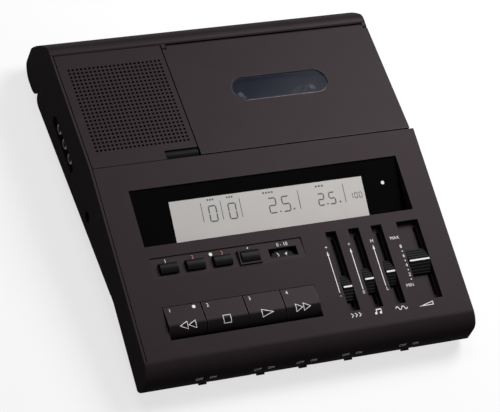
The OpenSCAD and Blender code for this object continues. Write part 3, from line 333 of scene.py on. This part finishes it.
def softened(node, edge, material, body, rim=None, shaded_finish=None, segments=3):
    """A copy of a CAD node with its flat faces joined and its edges rounded, shown in the node's place.

    The rounded edges may have a finish of their own with more shine, which paints a highlight along them, and
    the faces that lean more than a little may have a shaded copy of the finish, which paints shade on them.
    """
    mesh = frame["nodes"][node].data.copy()
    mesh.name = node + "_soft"
    bm = bmesh.new()
    bm.from_mesh(mesh)
    bmesh.ops.remove_doubles(bm, verts=bm.verts, dist=MERGE_DISTANCE)
    bmesh.ops.dissolve_limit(bm, angle_limit=FLAT_ANGLE, verts=bm.verts, edges=bm.edges)
    bm.to_mesh(mesh)
    bm.free()
    mesh.materials.clear()
    mesh.polygons.foreach_set("material_index", np.zeros(len(mesh.polygons), dtype=np.int32))
    mesh.polygons.foreach_set("use_smooth", np.ones(len(mesh.polygons), dtype=bool))
    piece = place_piece(node + "_soft", mesh, material, body)
    bevel = piece.modifiers.new("rounding", "BEVEL")
    bevel.width = edge
    bevel.segments = segments
    bevel.limit_method = "ANGLE"
    bevel.angle_limit = EDGE_ANGLE
    bevel.harden_normals = False
    # A shinier finish on the rounded edges: painted highlight.
    if rim:
        mesh.materials.append(rim)
        bevel.material = HIGHLIGHT_RIM_SLOT
    # A shaded copy of the finish on the faces that lean: painted shade.
    if shaded_finish:
        mesh.materials.append(shaded_finish)
        shade_mask = np.abs(face_normals(mesh)[:, 2]) < LEVEL_FACE
        slots = np.where(shade_mask, SHADED_FACE_SLOT, LEVEL_SLOT).astype(np.int32)
        mesh.polygons.foreach_set("material_index", slots)
    normal = piece.modifiers.new("shading", "WEIGHTED_NORMAL")
    normal.weight = SHADING_WEIGHT
    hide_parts(node)
    return piece


def node_at(tree, kind, **inputs):
    """A shader node with values set on its sockets."""
    n = tree.nodes.new(kind)
    for key, value in inputs.items():
        n.inputs[key.replace("_", " ")].default_value = value
    return n


CLOUD_SCALE = 55.0
CLOUD_SPAN = (0.3, 0.7)
ROUGH_SPREAD = 0.06
ROUGH_RANGE = (0.02, 1.0)
GRAIN_STRENGTH = 0.35
WARM_SHEEN = (1.0, 0.78, 0.87, 1.0)


def finish_material(name, colour, rough, grain, grain_depth, spread, specular=0.5, tint=None):
    """A moulded finish on Object coordinates: broad noise varies the colour, fine noise roughness and grain."""
    material = bpy.data.materials.get(name + "_finish")
    if material:
        return material
    material = bpy.data.materials.new(name + "_finish")
    material.use_nodes = True
    tree = material.node_tree
    shader = tree.nodes["Principled BSDF"]
    place = tree.nodes.new("ShaderNodeTexCoord")
    broad = node_at(tree, "ShaderNodeTexNoise", Scale=CLOUD_SCALE, Detail=3.0)
    tree.links.new(place.outputs["Object"], broad.inputs["Vector"])
    ramp = tree.nodes.new("ShaderNodeValToRGB")
    for stop, position, share in zip(ramp.color_ramp.elements, CLOUD_SPAN, (1 - spread, 1 + spread)):
        stop.position = position
        stop.color = (*[min(c * share, 1) for c in colour], 1)
    tree.links.new(broad.outputs["Fac"], ramp.inputs["Fac"])
    tree.links.new(ramp.outputs["Color"], shader.inputs["Base Color"])
    fine = node_at(tree, "ShaderNodeTexNoise", Scale=grain, Detail=2.0)
    tree.links.new(place.outputs["Object"], fine.inputs["Vector"])
    span = tree.nodes.new("ShaderNodeMapRange")
    span.inputs["To Min"].default_value = max(rough - ROUGH_SPREAD, ROUGH_RANGE[0])
    span.inputs["To Max"].default_value = min(rough + ROUGH_SPREAD, ROUGH_RANGE[1])
    tree.links.new(fine.outputs["Fac"], span.inputs["Value"])
    tree.links.new(span.outputs["Result"], shader.inputs["Roughness"])
    bump = node_at(tree, "ShaderNodeBump", Strength=GRAIN_STRENGTH, Distance=grain_depth)
    tree.links.new(fine.outputs["Fac"], bump.inputs["Height"])
    tree.links.new(bump.outputs["Normal"], shader.inputs["Normal"])
    shader.inputs["Specular IOR Level"].default_value = specular
    if tint:
        shader.inputs["Specular Tint"].default_value = tint
    return material


def metal_material(name, colour, rough):
    """Bare metal with a fine even grain."""
    material = finish_material(name, colour, rough, 900.0, 0.00001, 0.06)
    material.node_tree.nodes["Principled BSDF"].inputs["Metallic"].default_value = 1.0
    return material


def window_smoke():
    """Smoked plastic: part of the light passes straight through, the rest shows the smoke colour."""
    material = finish_material("window_smoke", looks().window, 0.1, 300.0, 0.000002, 0.05, specular=0.03)
    material.node_tree.nodes["Principled BSDF"].inputs["Alpha"].default_value = 0.5
    return material


def case_satin():
    """Warm charcoal moulding with a fine spark-eroded grain, where it lies about level; with its sheen it is
    the lit half of a lit and shaded pair of copies.
    """
    return finish_material("case_satin", looks().case, 0.38, 2600.0, 0.00002, 0.05, 0.054, WARM_SHEEN)


def case_matte():
    """The same moulding without its sheen on the faces that lean, a shaded copy of the satin that paints shade
    on them.
    """
    return finish_material("case_matte", looks().case, 0.6, 2600.0, 0.00002, 0.05, specular=0.004)


def case_rim():
    """The same moulding with much more shine on its rounded edges, which paints highlights along them."""
    return finish_material("case_rim", looks().case, 0.3, 2600.0, 0.00001, 0.05, specular=0.4)


def key_satin():
    """The keys' level tops: a darker and smoother moulding than the case, and the lit half of the keys' lit and
    shaded pair.
    """
    return finish_material("key_satin", looks().key, 0.35, 2600.0, 0.00001, 0.05, 0.066, WARM_SHEEN)


def key_matte():
    """The keys' bends and sides: a shaded copy of the keys' moulding without its sheen, which paints shade on
    them.
    """
    return finish_material("key_matte", looks().key, 0.6, 2600.0, 0.00001, 0.05, specular=0.004)


def window_rim():
    """The window's rounded rim, which catches the light."""
    return finish_material("window_rim", (0.05, 0.05, 0.06), 0.25, 300.0, 0.000002, 0.05, specular=0.6)


def knob_black():
    """Black moulding of knobs and switches."""
    return finish_material("knob_black", looks().black, 0.38, 2200.0, 0.00001, 0.08, specular=0.045)


def button_black():
    """The small buttons: black plastic with a soft shine on the edges."""
    return finish_material("button_black", looks().black, 0.28, 1800.0, 0.000005, 0.08, specular=0.05)


def gloss_black():
    """Polished black of the display's lens."""
    return finish_material("gloss_black", looks().gloss, 0.12, 700.0, 0.000002, 0.06, specular=0.02)


def print_white():
    """White printed ink."""
    return finish_material("print_white", looks().print_white, 0.55, 1500.0, 0.000004, 0.03)


def print_accent():
    """Orange red printed ink."""
    return finish_material("print_accent", looks().print_accent, 0.55, 1500.0, 0.000004, 0.05)


# Plain finishes and metals: colour, roughness and the CAD pieces that have them.
PLAIN_FINISHES = {
    "board_green": ((0.03, 0.11, 0.05), 0.45, ("control_board", "main_board")),
    "rubber_black": ((0.015, 0.015, 0.015), 0.85, ("rubber_feet", "drive_belt", "pinch_roller")),
    "reel_white": ((0.76, 0.75, 0.72), 0.45, ("supply_spindle", "takeup_spindle")),
    "cone_paper": ((0.02, 0.02, 0.02), 0.9, ("speaker_cone",)),
    "socket_black": ((0.02, 0.02, 0.021), 0.4, (
        "button_switches", "key_switches", "slide_pots", "cassette_holder", "erase_head")),
    "magnet_grey": ((0.06, 0.06, 0.06), 0.6, ("speaker_magnet",)),
    "lamp_red": ((0.35, 0.03, 0.02), 0.2, ("record_lamp",)),
    "glass_back": ((0.30, 0.30, 0.28), 0.3, ("lcd_panel",)),
}
METALS = {
    "steel_plain": ((0.50, 0.50, 0.51), 0.32, (
        "speaker_basket", "mode_switches", "dial_pot", "deck_plate", "motor", "key_pivot_rod",
        "door_hinge_pins", "case_screws", "flywheel", "head_carriage", "play_head")),
    "brass_turned": ((0.60, 0.42, 0.17), 0.28, ("capstan_bearing", "motor_pulley")),
}


def give(node, material):
    """A CAD node's material slots get a better finish."""
    for place in frame["nodes"][node].material_slots:
        place.material = material


# Operators, one for each piece or group of like pieces.

class TRANSCRIBER_OT_camera(bpy.types.Operator):
    """Sets the camera where the photograph was taken from"""

    bl_idname = "transcriber.camera"
    bl_label = "Camera"

    def execute(self, context):
        data = bpy.data.cameras.new("photo_camera")
        data.lens = CAMERA_LENS
        data.sensor_width = CAMERA_SENSOR
        data.sensor_fit = "HORIZONTAL"
        data.clip_end = CAMERA_REACH
        camera = bpy.data.objects.new("photo_camera", data)
        axes = Matrix((CAMERA_RIGHT, CAMERA_UP, CAMERA_BACK)).transposed()
        camera.matrix_world = Matrix.Translation(Vector(CAMERA_PLACE)) @ axes.to_4x4()
        context.scene.collection.objects.link(camera)
        context.scene.camera = camera
        return {"FINISHED"}


class TRANSCRIBER_OT_stage(bpy.types.Operator):
    """Adds the pale floor and the soft lamps"""

    bl_idname = "transcriber.stage"
    bl_label = "Stage"

    # Name, place, side in metres and power in watts.
    lamps = (("soft_box", (0.46, 0.24, 0.64), 0.45, 6.8), ("fill_lamp", (-0.1, 0.45, 1.15), 0.4, 3.0))
    target = (0, 0, 0.02)
    fill_light = 0.12
    floor_half = 4.0
    floor_white = 0.95
    floor_glow = 0.7
    far_floor = floor_glow + (1 - floor_glow) * floor_white * fill_light

    def execute(self, context):
        scene = context.scene
        scene.view_settings.view_transform = "Standard"
        self.surroundings(scene)
        self.floor(scene)
        for name, place, size, power in self.lamps:
            self.lamp(scene, name, place, size, power)
        return {"FINISHED"}

    def lamp(self, scene, name, place, size, power):
        """A square soft lamp that looks at the machine's middle."""
        data = bpy.data.lights.new(name, "AREA")
        data.size = size
        data.energy = power
        lamp = bpy.data.objects.new(name, data)
        lamp.location = place
        lamp.rotation_euler = (Vector(self.target) - Vector(place)).to_track_quat("-Z", "Y").to_euler()
        scene.collection.objects.link(lamp)

    def surroundings(self, scene):
        """Dim even light all round that fills the shadows; where it is seen, it is as pale as the far floor."""
        world = bpy.data.worlds.new("studio")
        scene.world = world
        world.use_nodes = True
        tree = world.node_tree
        fill = tree.nodes["Background"]
        fill.inputs["Color"].default_value = (1, 1, 1, 1)
        level = tree.nodes.new("ShaderNodeMath")
        level.operation = "MULTIPLY_ADD"
        level.inputs[1].default_value = self.far_floor - self.fill_light
        level.inputs[2].default_value = self.fill_light
        tree.links.new(self.seen_rays(tree), level.inputs[0])
        tree.links.new(level.outputs[0], fill.inputs["Strength"])

    def seen_rays(self, tree):
        """1 for camera, glossy and transmission rays, 0 for those that only carry light."""
        path = tree.nodes.new("ShaderNodeLightPath")
        seen = path.outputs["Is Camera Ray"]
        for kind in ("Is Glossy Ray", "Is Transmission Ray"):
            either = tree.nodes.new("ShaderNodeMath")
            either.operation = "MAXIMUM"
            tree.links.new(seen, either.inputs[0])
            tree.links.new(path.outputs[kind], either.inputs[1])
            seen = either.outputs[0]
        return seen

    def floor(self, scene):
        """A wide white plane at the feet that keeps the shadow, lifted towards white where it is seen."""
        mesh = bpy.data.meshes.new("floor")
        half = self.floor_half
        corners = [(-half, -half, 0), (half, -half, 0), (half, half, 0), (-half, half, 0)]
        mesh.from_pydata(corners, [], [(0, 1, 2, 3)])
        material = bpy.data.materials.new("floor_white")
        material.use_nodes = True
        tree = material.node_tree
        tree.nodes.remove(tree.nodes["Principled BSDF"])
        paint = node_at(tree, "ShaderNodeBsdfDiffuse", Color=(*[self.floor_white] * 3, 1))
        glow = node_at(tree, "ShaderNodeEmission", Color=(1, 1, 1, 1))
        tree.links.new(self.seen_rays(tree), glow.inputs["Strength"])
        both = tree.nodes.new("ShaderNodeMixShader")
        both.inputs[0].default_value = self.floor_glow
        tree.links.new(paint.outputs[0], both.inputs[1])
        tree.links.new(glow.outputs[0], both.inputs[2])
        tree.links.new(both.outputs[0], tree.nodes["Material Output"].inputs["Surface"])
        mesh.materials.append(material)
        floor = bpy.data.objects.new("floor", mesh)
        scene.collection.objects.link(floor)


class TRANSCRIBER_OT_finishes(bpy.types.Operator):
    """Gives every CAD piece its finish"""

    bl_idname = "transcriber.finishes"
    bl_label = "Finishes"

    def execute(self, context):
        for name, (colour, rough, nodes) in PLAIN_FINISHES.items():
            for node in nodes:
                give(node, finish_material(name, colour, rough, 1500.0, 0.00001, 0.08))
        for name, (colour, rough, nodes) in METALS.items():
            for node in nodes:
                give(node, metal_material(name, colour, rough))
        for node in ("upper_case", "lower_case", "speaker_panel", "cassette_door"):
            give(node, case_satin())
        for node in KEYS:
            give(node, key_satin())
        for node in KNOBS + SWITCHES + ("eject_button", "time_dial", "side_jacks", "power_jack"):
            give(node, knob_black())
        for node in BUTTONS:
            give(node, button_black())
        give("display_lens", gloss_black())
        give("door_window", window_smoke())
        return {"FINISHED"}


class TRANSCRIBER_OT_case(bpy.types.Operator):
    """Rounds the edges of the case and the door"""

    bl_idname = "transcriber.case"
    bl_label = "Case and door"

    def execute(self, context):
        # Each rounded copy gets a painted highlight on its edges and painted shade on the faces that lean.
        softened("upper_case", sizes().case_edge, case_satin(), "case", case_rim(), case_matte(), segments=2)
        softened("lower_case", sizes().case_edge, case_satin(), "case", case_rim(), case_matte(), segments=2)
        softened("cassette_door", sizes().door_edge, case_satin(), "door", case_rim(), case_matte())
        softened("door_window", sizes().case_edge, window_smoke(), "door", window_rim(), segments=2)
        return {"FINISHED"}


class TRANSCRIBER_OT_controls(bpy.types.Operator):
    """Rounds the edges of keys, buttons, knobs and switches"""

    bl_idname = "transcriber.controls"
    bl_label = "Controls"

    def execute(self, context):
        # The keys get the same painted highlight on their edges and painted shade on their bends and sides.
        for node in KEYS:
            softened(node, sizes().key_edge, key_satin(), node + "_body", case_rim(), key_matte())
        for node in BUTTONS:
            softened(node, sizes().button_edge, button_black(), node + "_body")
        for node in KNOBS + SWITCHES:
            softened(node, sizes().knob_edge, knob_black(), node + "_body")
        softened("eject_button", sizes().knob_edge, knob_black(), "eject")
        return {"FINISHED"}


class TRANSCRIBER_OT_display(bpy.types.Operator):
    """Adds the display's pale ground, its figures and the lamp"""

    bl_idname = "transcriber.display"
    bl_label = "Display"

    # Figures are given by sign, x, s, width and height, the small words' marks by x, s and length.
    ground_x = (38.0, 149.6)
    ground_s = (8.3, 31.6)
    dividers = (55.3, 66.4, 77.3, 111.0, 137.7)
    divider_s = (11.1, 21.3)
    figures = (("0", 61.3, 17.4, 4.1, 8.2), ("0", 72.4, 17.4, 4.1, 8.2), ("2", 95.4, 17.5, 4.1, 8.0),
               ("5", 103.2, 17.5, 4.1, 8.0), ("2", 123.7, 17.9, 3.3, 6.2), ("5", 130.2, 17.9, 3.3, 6.2),
               ("1", 141.6, 18.2, 1.4, 2.9), ("0", 144.3, 18.2, 1.6, 2.9), ("0", 147.0, 18.2, 1.6, 2.9))
    points = ((99.3, 21.2), (127.0, 20.6))
    small = ((61.3, 9.9, 4.2), (72.3, 9.9, 4.2), (94.3, 10.3, 6.6), (124.3, 10.6, 5.4), (107.6, 20.8, 1.6),
             (134.8, 20.4, 1.6))
    mark_pitch = 1.4
    mark_share = 0.62
    mark_height = 0.9
    lamp = (161.4, 13.4)
    lamp_radius = 1.0
    tall = 4.0
    divider_stroke, tall_stroke, low_stroke, point_stroke = 0.85, 1.6, 0.9, 1.1

    def execute(self, context):
        lift = sizes().print_lift
        x0, x1 = self.ground_x
        s0, s1 = self.ground_s
        ground = finish_material("display_ground", looks().display, 0.3, 800.0, 0.000002, 0.02, specular=0.2)
        oblong = polygon([(x0, s0), (x1, s0), (x1, s1), (x0, s1)])
        surface_mesh("display_ground", [oblong], lens_surface, lift, ground, "case")
        ink = finish_material("display_segment", looks().segment, 0.4, 800.0, 0.000002, 0.05)
        line = sizes().line / MM
        top, low = self.divider_s
        shapes = [bar(x, top, x, low, line * self.divider_stroke) for x in self.dividers]
        for figure, x, s, w, h in self.figures:
            stroke = self.tall_stroke if h > self.tall else self.low_stroke
            shapes += seven_segments(figure, x, s, w, h, line * stroke)
        shapes += [disc(x, s, line * self.point_stroke, 10) for x, s in self.points]
        for x, s, w in self.small:
            count = max(int(w / self.mark_pitch), 1)
            step = w / count
            for i in range(count):
                left = x - w / 2 + i * step
                shapes.append(bar(left, s, left + step * self.mark_share, s, self.mark_height))
        surface_mesh("display_figures", shapes, lens_surface, 2 * lift, ink, "case")
        spot = disc(*self.lamp, self.lamp_radius)
        surface_mesh("display_lamp", [spot], lens_surface, lift, print_white(), "case")
        return {"FINISHED"}


class TRANSCRIBER_OT_panel_print(bpy.types.Operator):
    """Prints the panel: scales and arrows beside the sliders, figures over the buttons"""

    bl_idname = "transcriber.panel_print"
    bl_label = "Panel print"

    arrows = (115.6, 129.1, 142.5)
    arrow_s = (63.8, 86.8)
    tip_back, tip_length, tip_half = 0.6, 1.8, 0.65
    scale_dots = ((158.1, 69.2), (158.1, 74.6), (158.1, 80.0), (158.1, 85.4))
    scale_dot_radius = 0.36
    # Text, x, s and height of each label.
    labels = (("+", 115.8, 61.0, 2.0), ("-", 115.6, 88.4, 2.0), ("+", 129.2, 61.0, 2.0),
              ("0", 129.1, 88.5, 1.9), ("H", 142.6, 61.0, 1.9), ("L", 142.9, 88.5, 1.9),
              ("8", 158.1, 66.5, 1.9), ("6", 158.1, 71.9, 1.9), ("4", 158.1, 77.3, 1.9),
              ("2", 158.1, 82.7, 1.9), ("MAX", 156.1, 61.2, 1.75), ("MIN", 156.3, 88.6, 1.75),
              ("1", 26.0, 55.6, 2.0), ("4", 72.2, 55.4, 2.0), ("0 - 10", 91.8, 55.6, 1.9))
    accent_labels = (("2", 41.1, 55.5, 2.0), ("3", 57.6, 55.5, 2.0))
    erase_dot = (51.3, 55.4, 0.95)
    sign_s = 100.2
    chevrons = (118.1, 120.3, 122.5)
    chevron_size = (1.2, 1.1)
    stems = (132.7, 135.5)
    note_top, note_low, note_beam = 1.2, 0.8, (132.6, 135.6)
    note_head = (0.5, 0.7)
    wave_x, wave_half, wave_length = 147.4, 3.4, 1.7
    wedge_x, wedge_low, wedge_high = (157.6, 166.2), 1.0, 1.2

    def execute(self, context):
        line = sizes().line / MM
        top, low = self.arrow_s
        shapes = []
        for x in self.arrows:
            neck = top + self.tip_length
            shapes.append(bar(x, top + 2 * self.tip_back, x, low, line))
            tip = (x, top - self.tip_back)
            shapes.append(polygon([tip, (x + self.tip_half, neck), (x - self.tip_half, neck)]))
        shapes += [words(*label) for label in self.labels]
        shapes += [disc(*place, self.scale_dot_radius, 10) for place in self.scale_dots]
        shapes.append(disc(*self.erase_dot))
        shapes += self.slider_signs(self.sign_s, line)
        surface_mesh("panel_print", shapes, panel_surface, sizes().print_lift, print_white(), "case")
        accent = [words(*label) for label in self.accent_labels]
        surface_mesh("accent_print", accent, panel_surface, sizes().print_lift, print_accent(), "case")
        return {"FINISHED"}

    def slider_signs(self, s, line):
        """Plain signs under the slots: three chevrons, a pair of notes, a sine wave and a wedge."""
        signs = []
        reach, half = self.chevron_size
        for x in self.chevrons:
            signs += [bar(x, s - half, x + reach, s, line), bar(x + reach, s, x, s + half, line)]
        back, radius = self.note_head
        high, low = s - self.note_top, s + self.note_low
        for x in self.stems:
            signs += [disc(x - back, low, radius, 12), bar(x, low, x, high, line)]
        signs.append(bar(self.note_beam[0], high, self.note_beam[1], high, line * 1.5))
        t = np.linspace(-self.wave_half, self.wave_half, 25)
        wave = np.stack([self.wave_x + t, s - np.sin(t * math.pi / self.wave_length)], axis=1)
        signs += [bar(*p, *q, line) for p, q in zip(wave[:-1], wave[1:])]
        (left, right), low, high = self.wedge_x, s + self.wedge_low, s - self.wedge_high
        signs.append(outline([(left, low), (right, low), (right, high)], line * 0.9))
        return signs


class TRANSCRIBER_OT_key_print(bpy.types.Operator):
    """Prints the transport signs on the keys"""

    bl_idname = "transcriber.key_print"
    bl_label = "Key print"

    middle_s = 11.45
    half = 2.25
    stroke = 0.33
    figure_s = 2.2
    figure_in = 3.0
    figure_height = 2.0
    short, medium, long = 4.3, 4.6, 6.8
    stop_x = (47.4, 51.8)
    dot = (34.05, 1.75, 0.95)

    def triangle(self, x, way, length):
        """An outlined triangle whose tip points one way."""
        s, h = self.middle_s, self.half
        return outline([(x, s - h), (x, s + h), (x + way * length, s)], self.stroke)

    def execute(self, context):
        top, low = self.middle_s - self.half, self.middle_s + self.half
        left, right = self.stop_x
        signs = {
            "rewind_key": [self.triangle(27.8, -1, self.medium), self.triangle(32.4, -1, self.medium),
                           disc(*self.dot)],
            "stop_key": [outline([(left, top), (right, top), (right, low), (left, low)], self.stroke)],
            "listen_key": [self.triangle(69.0, 1, self.long)],
            "forward_key": [self.triangle(88.2, 1, self.short), self.triangle(92.5, 1, self.short)],
        }
        for number, (key, shapes) in enumerate(signs.items(), 1):
            x = (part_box(key)[0][0] - LEFT_X) / MM + self.figure_in
            shapes.append(words(str(number), x, self.figure_s, self.figure_height))
            surface_mesh(key + "_print", shapes, key_surface, sizes().print_lift, print_white(), key + "_body")
        return {"FINISHED"}


class TRANSCRIBER_OT_knob_lines(bpy.types.Operator):
    """Paints the white line across each slider knob's crest"""

    bl_idname = "transcriber.knob_lines"
    bl_label = "Knob lines"

    width = 0.9
    margin = 0.35
    crest_band = 0.05

    def execute(self, context):
        for knob in KNOBS:
            low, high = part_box(knob)
            x0, x1 = (low[0] - LEFT_X) / MM + self.margin, (high[0] - LEFT_X) / MM - self.margin
            crest, height = self.crest(knob)
            stripe = bar(x0, crest, x1, crest, self.width)
            surface_mesh(knob + "_line", [stripe], lambda x, s, lift, h=height: panel_place(x, s, h + lift),
                         sizes().print_lift, print_white(), knob + "_body")
        return {"FINISHED"}

    def crest(self, knob):
        """Where the knob's crest lies, down the slope and out of the panel, from its own vertices."""
        p = vertex_places(frame["nodes"][knob].data)
        y, z = (p[:, 1] - SEAM_Y) / MM, (p[:, 2] - SEAM_Z) / MM
        c, n = math.cos(PANEL_TILT), math.sin(PANEL_TILT)
        v, h = -y * c - z * n, -y * n + z * c
        top = h > h.max() - self.crest_band
        return float(v[top].mean()), float(h.max())


class TRANSCRIBER_OT_dial_print(bpy.types.Operator):
    """Prints the figures on the time dial"""

    bl_idname = "transcriber.dial_print"
    bl_label = "Dial print"

    radius = 6.6
    figures = "01234567"
    first, pitch = -140, 40
    height = 2.0
    middle_s = 66.25
    sunk = 2.55

    def execute(self, context):
        low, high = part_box("time_dial")
        middle = ((low[0] + high[0]) / 2 - LEFT_X) / MM
        shapes = []
        for i, figure in enumerate(self.figures):
            a = math.radians(self.first + self.pitch * i)
            x, s = middle + self.radius * math.sin(a), self.middle_s - self.radius * math.cos(a)
            shapes.append(words(figure, x, s, self.height, -a))
        surface_mesh("time_dial_print", shapes, lambda x, s, lift: panel_place(x, s, lift - self.sunk),
                     sizes().print_lift, print_white(), "time_dial_body")
        return {"FINISHED"}


class TRANSCRIBER_OT_front_print(bpy.types.Operator):
    """Prints OFF and ON over the slide switches of the front edge"""

    bl_idname = "transcriber.front_print"
    bl_label = "Front print"

    arc = 14.5
    apart = 3.8
    height = 1.7
    lifts = 2.5

    def execute(self, context):
        shapes = []
        for node in SWITCHES:
            low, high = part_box(node)
            x = ((low[0] + high[0]) / 2 - LEFT_X) / MM
            shapes.append(words("OFF", x - self.apart, PANEL_LENGTH + self.arc, self.height))
            shapes.append(words("ON", x + self.apart, PANEL_LENGTH + self.arc, self.height))
        lift = self.lifts * sizes().print_lift
        surface_mesh("front_print", shapes, panel_surface, lift, print_white(), "case")
        return {"FINISHED"}


class TRANSCRIBER_OT_sockets(bpy.types.Operator):
    """Adds the dark metal collars of the three jacks in the left side's recess"""

    bl_idname = "transcriber.sockets"
    bl_label = "Sockets"

    inner = 1.85
    outer = 3.0
    depth = 1.3
    chamfer = (0.25, 0.3)
    knurl_depth, knurl_count = 0.12, 18
    around = 72

    def execute(self, context):
        bores = [mount for mount in frame["record"]["mounts"] if mount["kind"] == "bore"]
        if not bores:
            raise RuntimeError("the record has no jack bores")
        plate = metal_material("collar_dark", (0.13, 0.13, 0.135), 0.5)
        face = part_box("side_jacks")[0][0]
        for mount in bores:
            mesh = self.collar(face, mount["pos_m"][1], mount["pos_m"][2])
            place_piece(mount["name"] + "_collar", mesh, plate, "case")
        return {"FINISHED"}

    def collar(self, face, y, z):
        """A knurled ring: a closed profile carried round the jack's axis, its outer radius a cosine wave."""
        around = self.around
        t = np.linspace(0, 2 * math.pi, around, endpoint=False)
        knurled = self.outer + self.knurl_depth * np.cos(self.knurl_count * t)
        inner, lip = np.full(around, self.inner), np.full(around, self.outer - self.chamfer[0])
        r = np.stack([inner, inner, lip, knurled, knurled])
        rows = len(r)
        profile = np.array([0.0, self.depth, self.depth, self.depth - self.chamfer[1], 0.0])
        out = profile[:, None] + np.zeros_like(r)
        co = np.stack([face - out * MM, y + r * np.cos(t) * MM, z + r * np.sin(t) * MM], axis=-1).reshape(-1, 3)
        i, j = np.meshgrid(np.arange(rows), np.arange(around), indexing="ij")
        k, n = (i + 1) % rows, (j + 1) % around
        corners = [i * around + j, i * around + n, k * around + n, k * around + j]
        faces = np.stack(corners, axis=-1).reshape(-1, 4)
        mesh = bpy.data.meshes.new("jack_collar")
        mesh.from_pydata(co.tolist(), [], faces.tolist())
        bm = bmesh.new()
        bm.from_mesh(mesh)
        bmesh.ops.recalc_face_normals(bm, faces=bm.faces)
        bm.to_mesh(mesh)
        bm.free()
        return mesh


class TRANSCRIBER_PT_panel(bpy.types.Panel):
    """Lists the steps that dress the machine"""

    bl_idname = "TRANSCRIBER_PT_panel"
    bl_label = "Transcriber"
    bl_space_type = "VIEW_3D"
    bl_region_type = "UI"
    bl_category = "Transcriber"

    def draw(self, context):
        for operator in STEPS:
            self.layout.operator(operator.bl_idname)
        for group in (context.scene.transcriber_looks, context.scene.transcriber_sizes):
            for name in group.bl_rna.properties.keys():
                if name not in ("rna_type", "name"):
                    self.layout.prop(group, name)


STEPS = (
    TRANSCRIBER_OT_camera, TRANSCRIBER_OT_stage, TRANSCRIBER_OT_finishes, TRANSCRIBER_OT_case,
    TRANSCRIBER_OT_controls, TRANSCRIBER_OT_display, TRANSCRIBER_OT_panel_print,
    TRANSCRIBER_OT_key_print, TRANSCRIBER_OT_knob_lines, TRANSCRIBER_OT_dial_print,
    TRANSCRIBER_OT_front_print, TRANSCRIBER_OT_sockets,
)
CLASSES = (TranscriberLooks, TranscriberSizes) + STEPS + (TRANSCRIBER_PT_panel,)


def register():
    for cls in CLASSES:
        bpy.utils.register_class(cls)
    bpy.types.Scene.transcriber_looks = bpy.props.PointerProperty(type=TranscriberLooks)
    bpy.types.Scene.transcriber_sizes = bpy.props.PointerProperty(type=TranscriberSizes)


def unregister():
    del bpy.types.Scene.transcriber_sizes
    del bpy.types.Scene.transcriber_looks
    for cls in reversed(CLASSES):
        bpy.utils.unregister_class(cls)


def main():
    """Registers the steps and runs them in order."""
    register()
    bpy.ops.transcriber.camera()
    bpy.ops.transcriber.stage()
    bpy.ops.transcriber.finishes()
    bpy.ops.transcriber.case()
    bpy.ops.transcriber.controls()
    bpy.ops.transcriber.display()
    bpy.ops.transcriber.panel_print()
    bpy.ops.transcriber.key_print()
    bpy.ops.transcriber.knob_lines()
    bpy.ops.transcriber.dial_print()
    bpy.ops.transcriber.front_print()
    bpy.ops.transcriber.sockets()


if __name__ == "__main__":
    main()
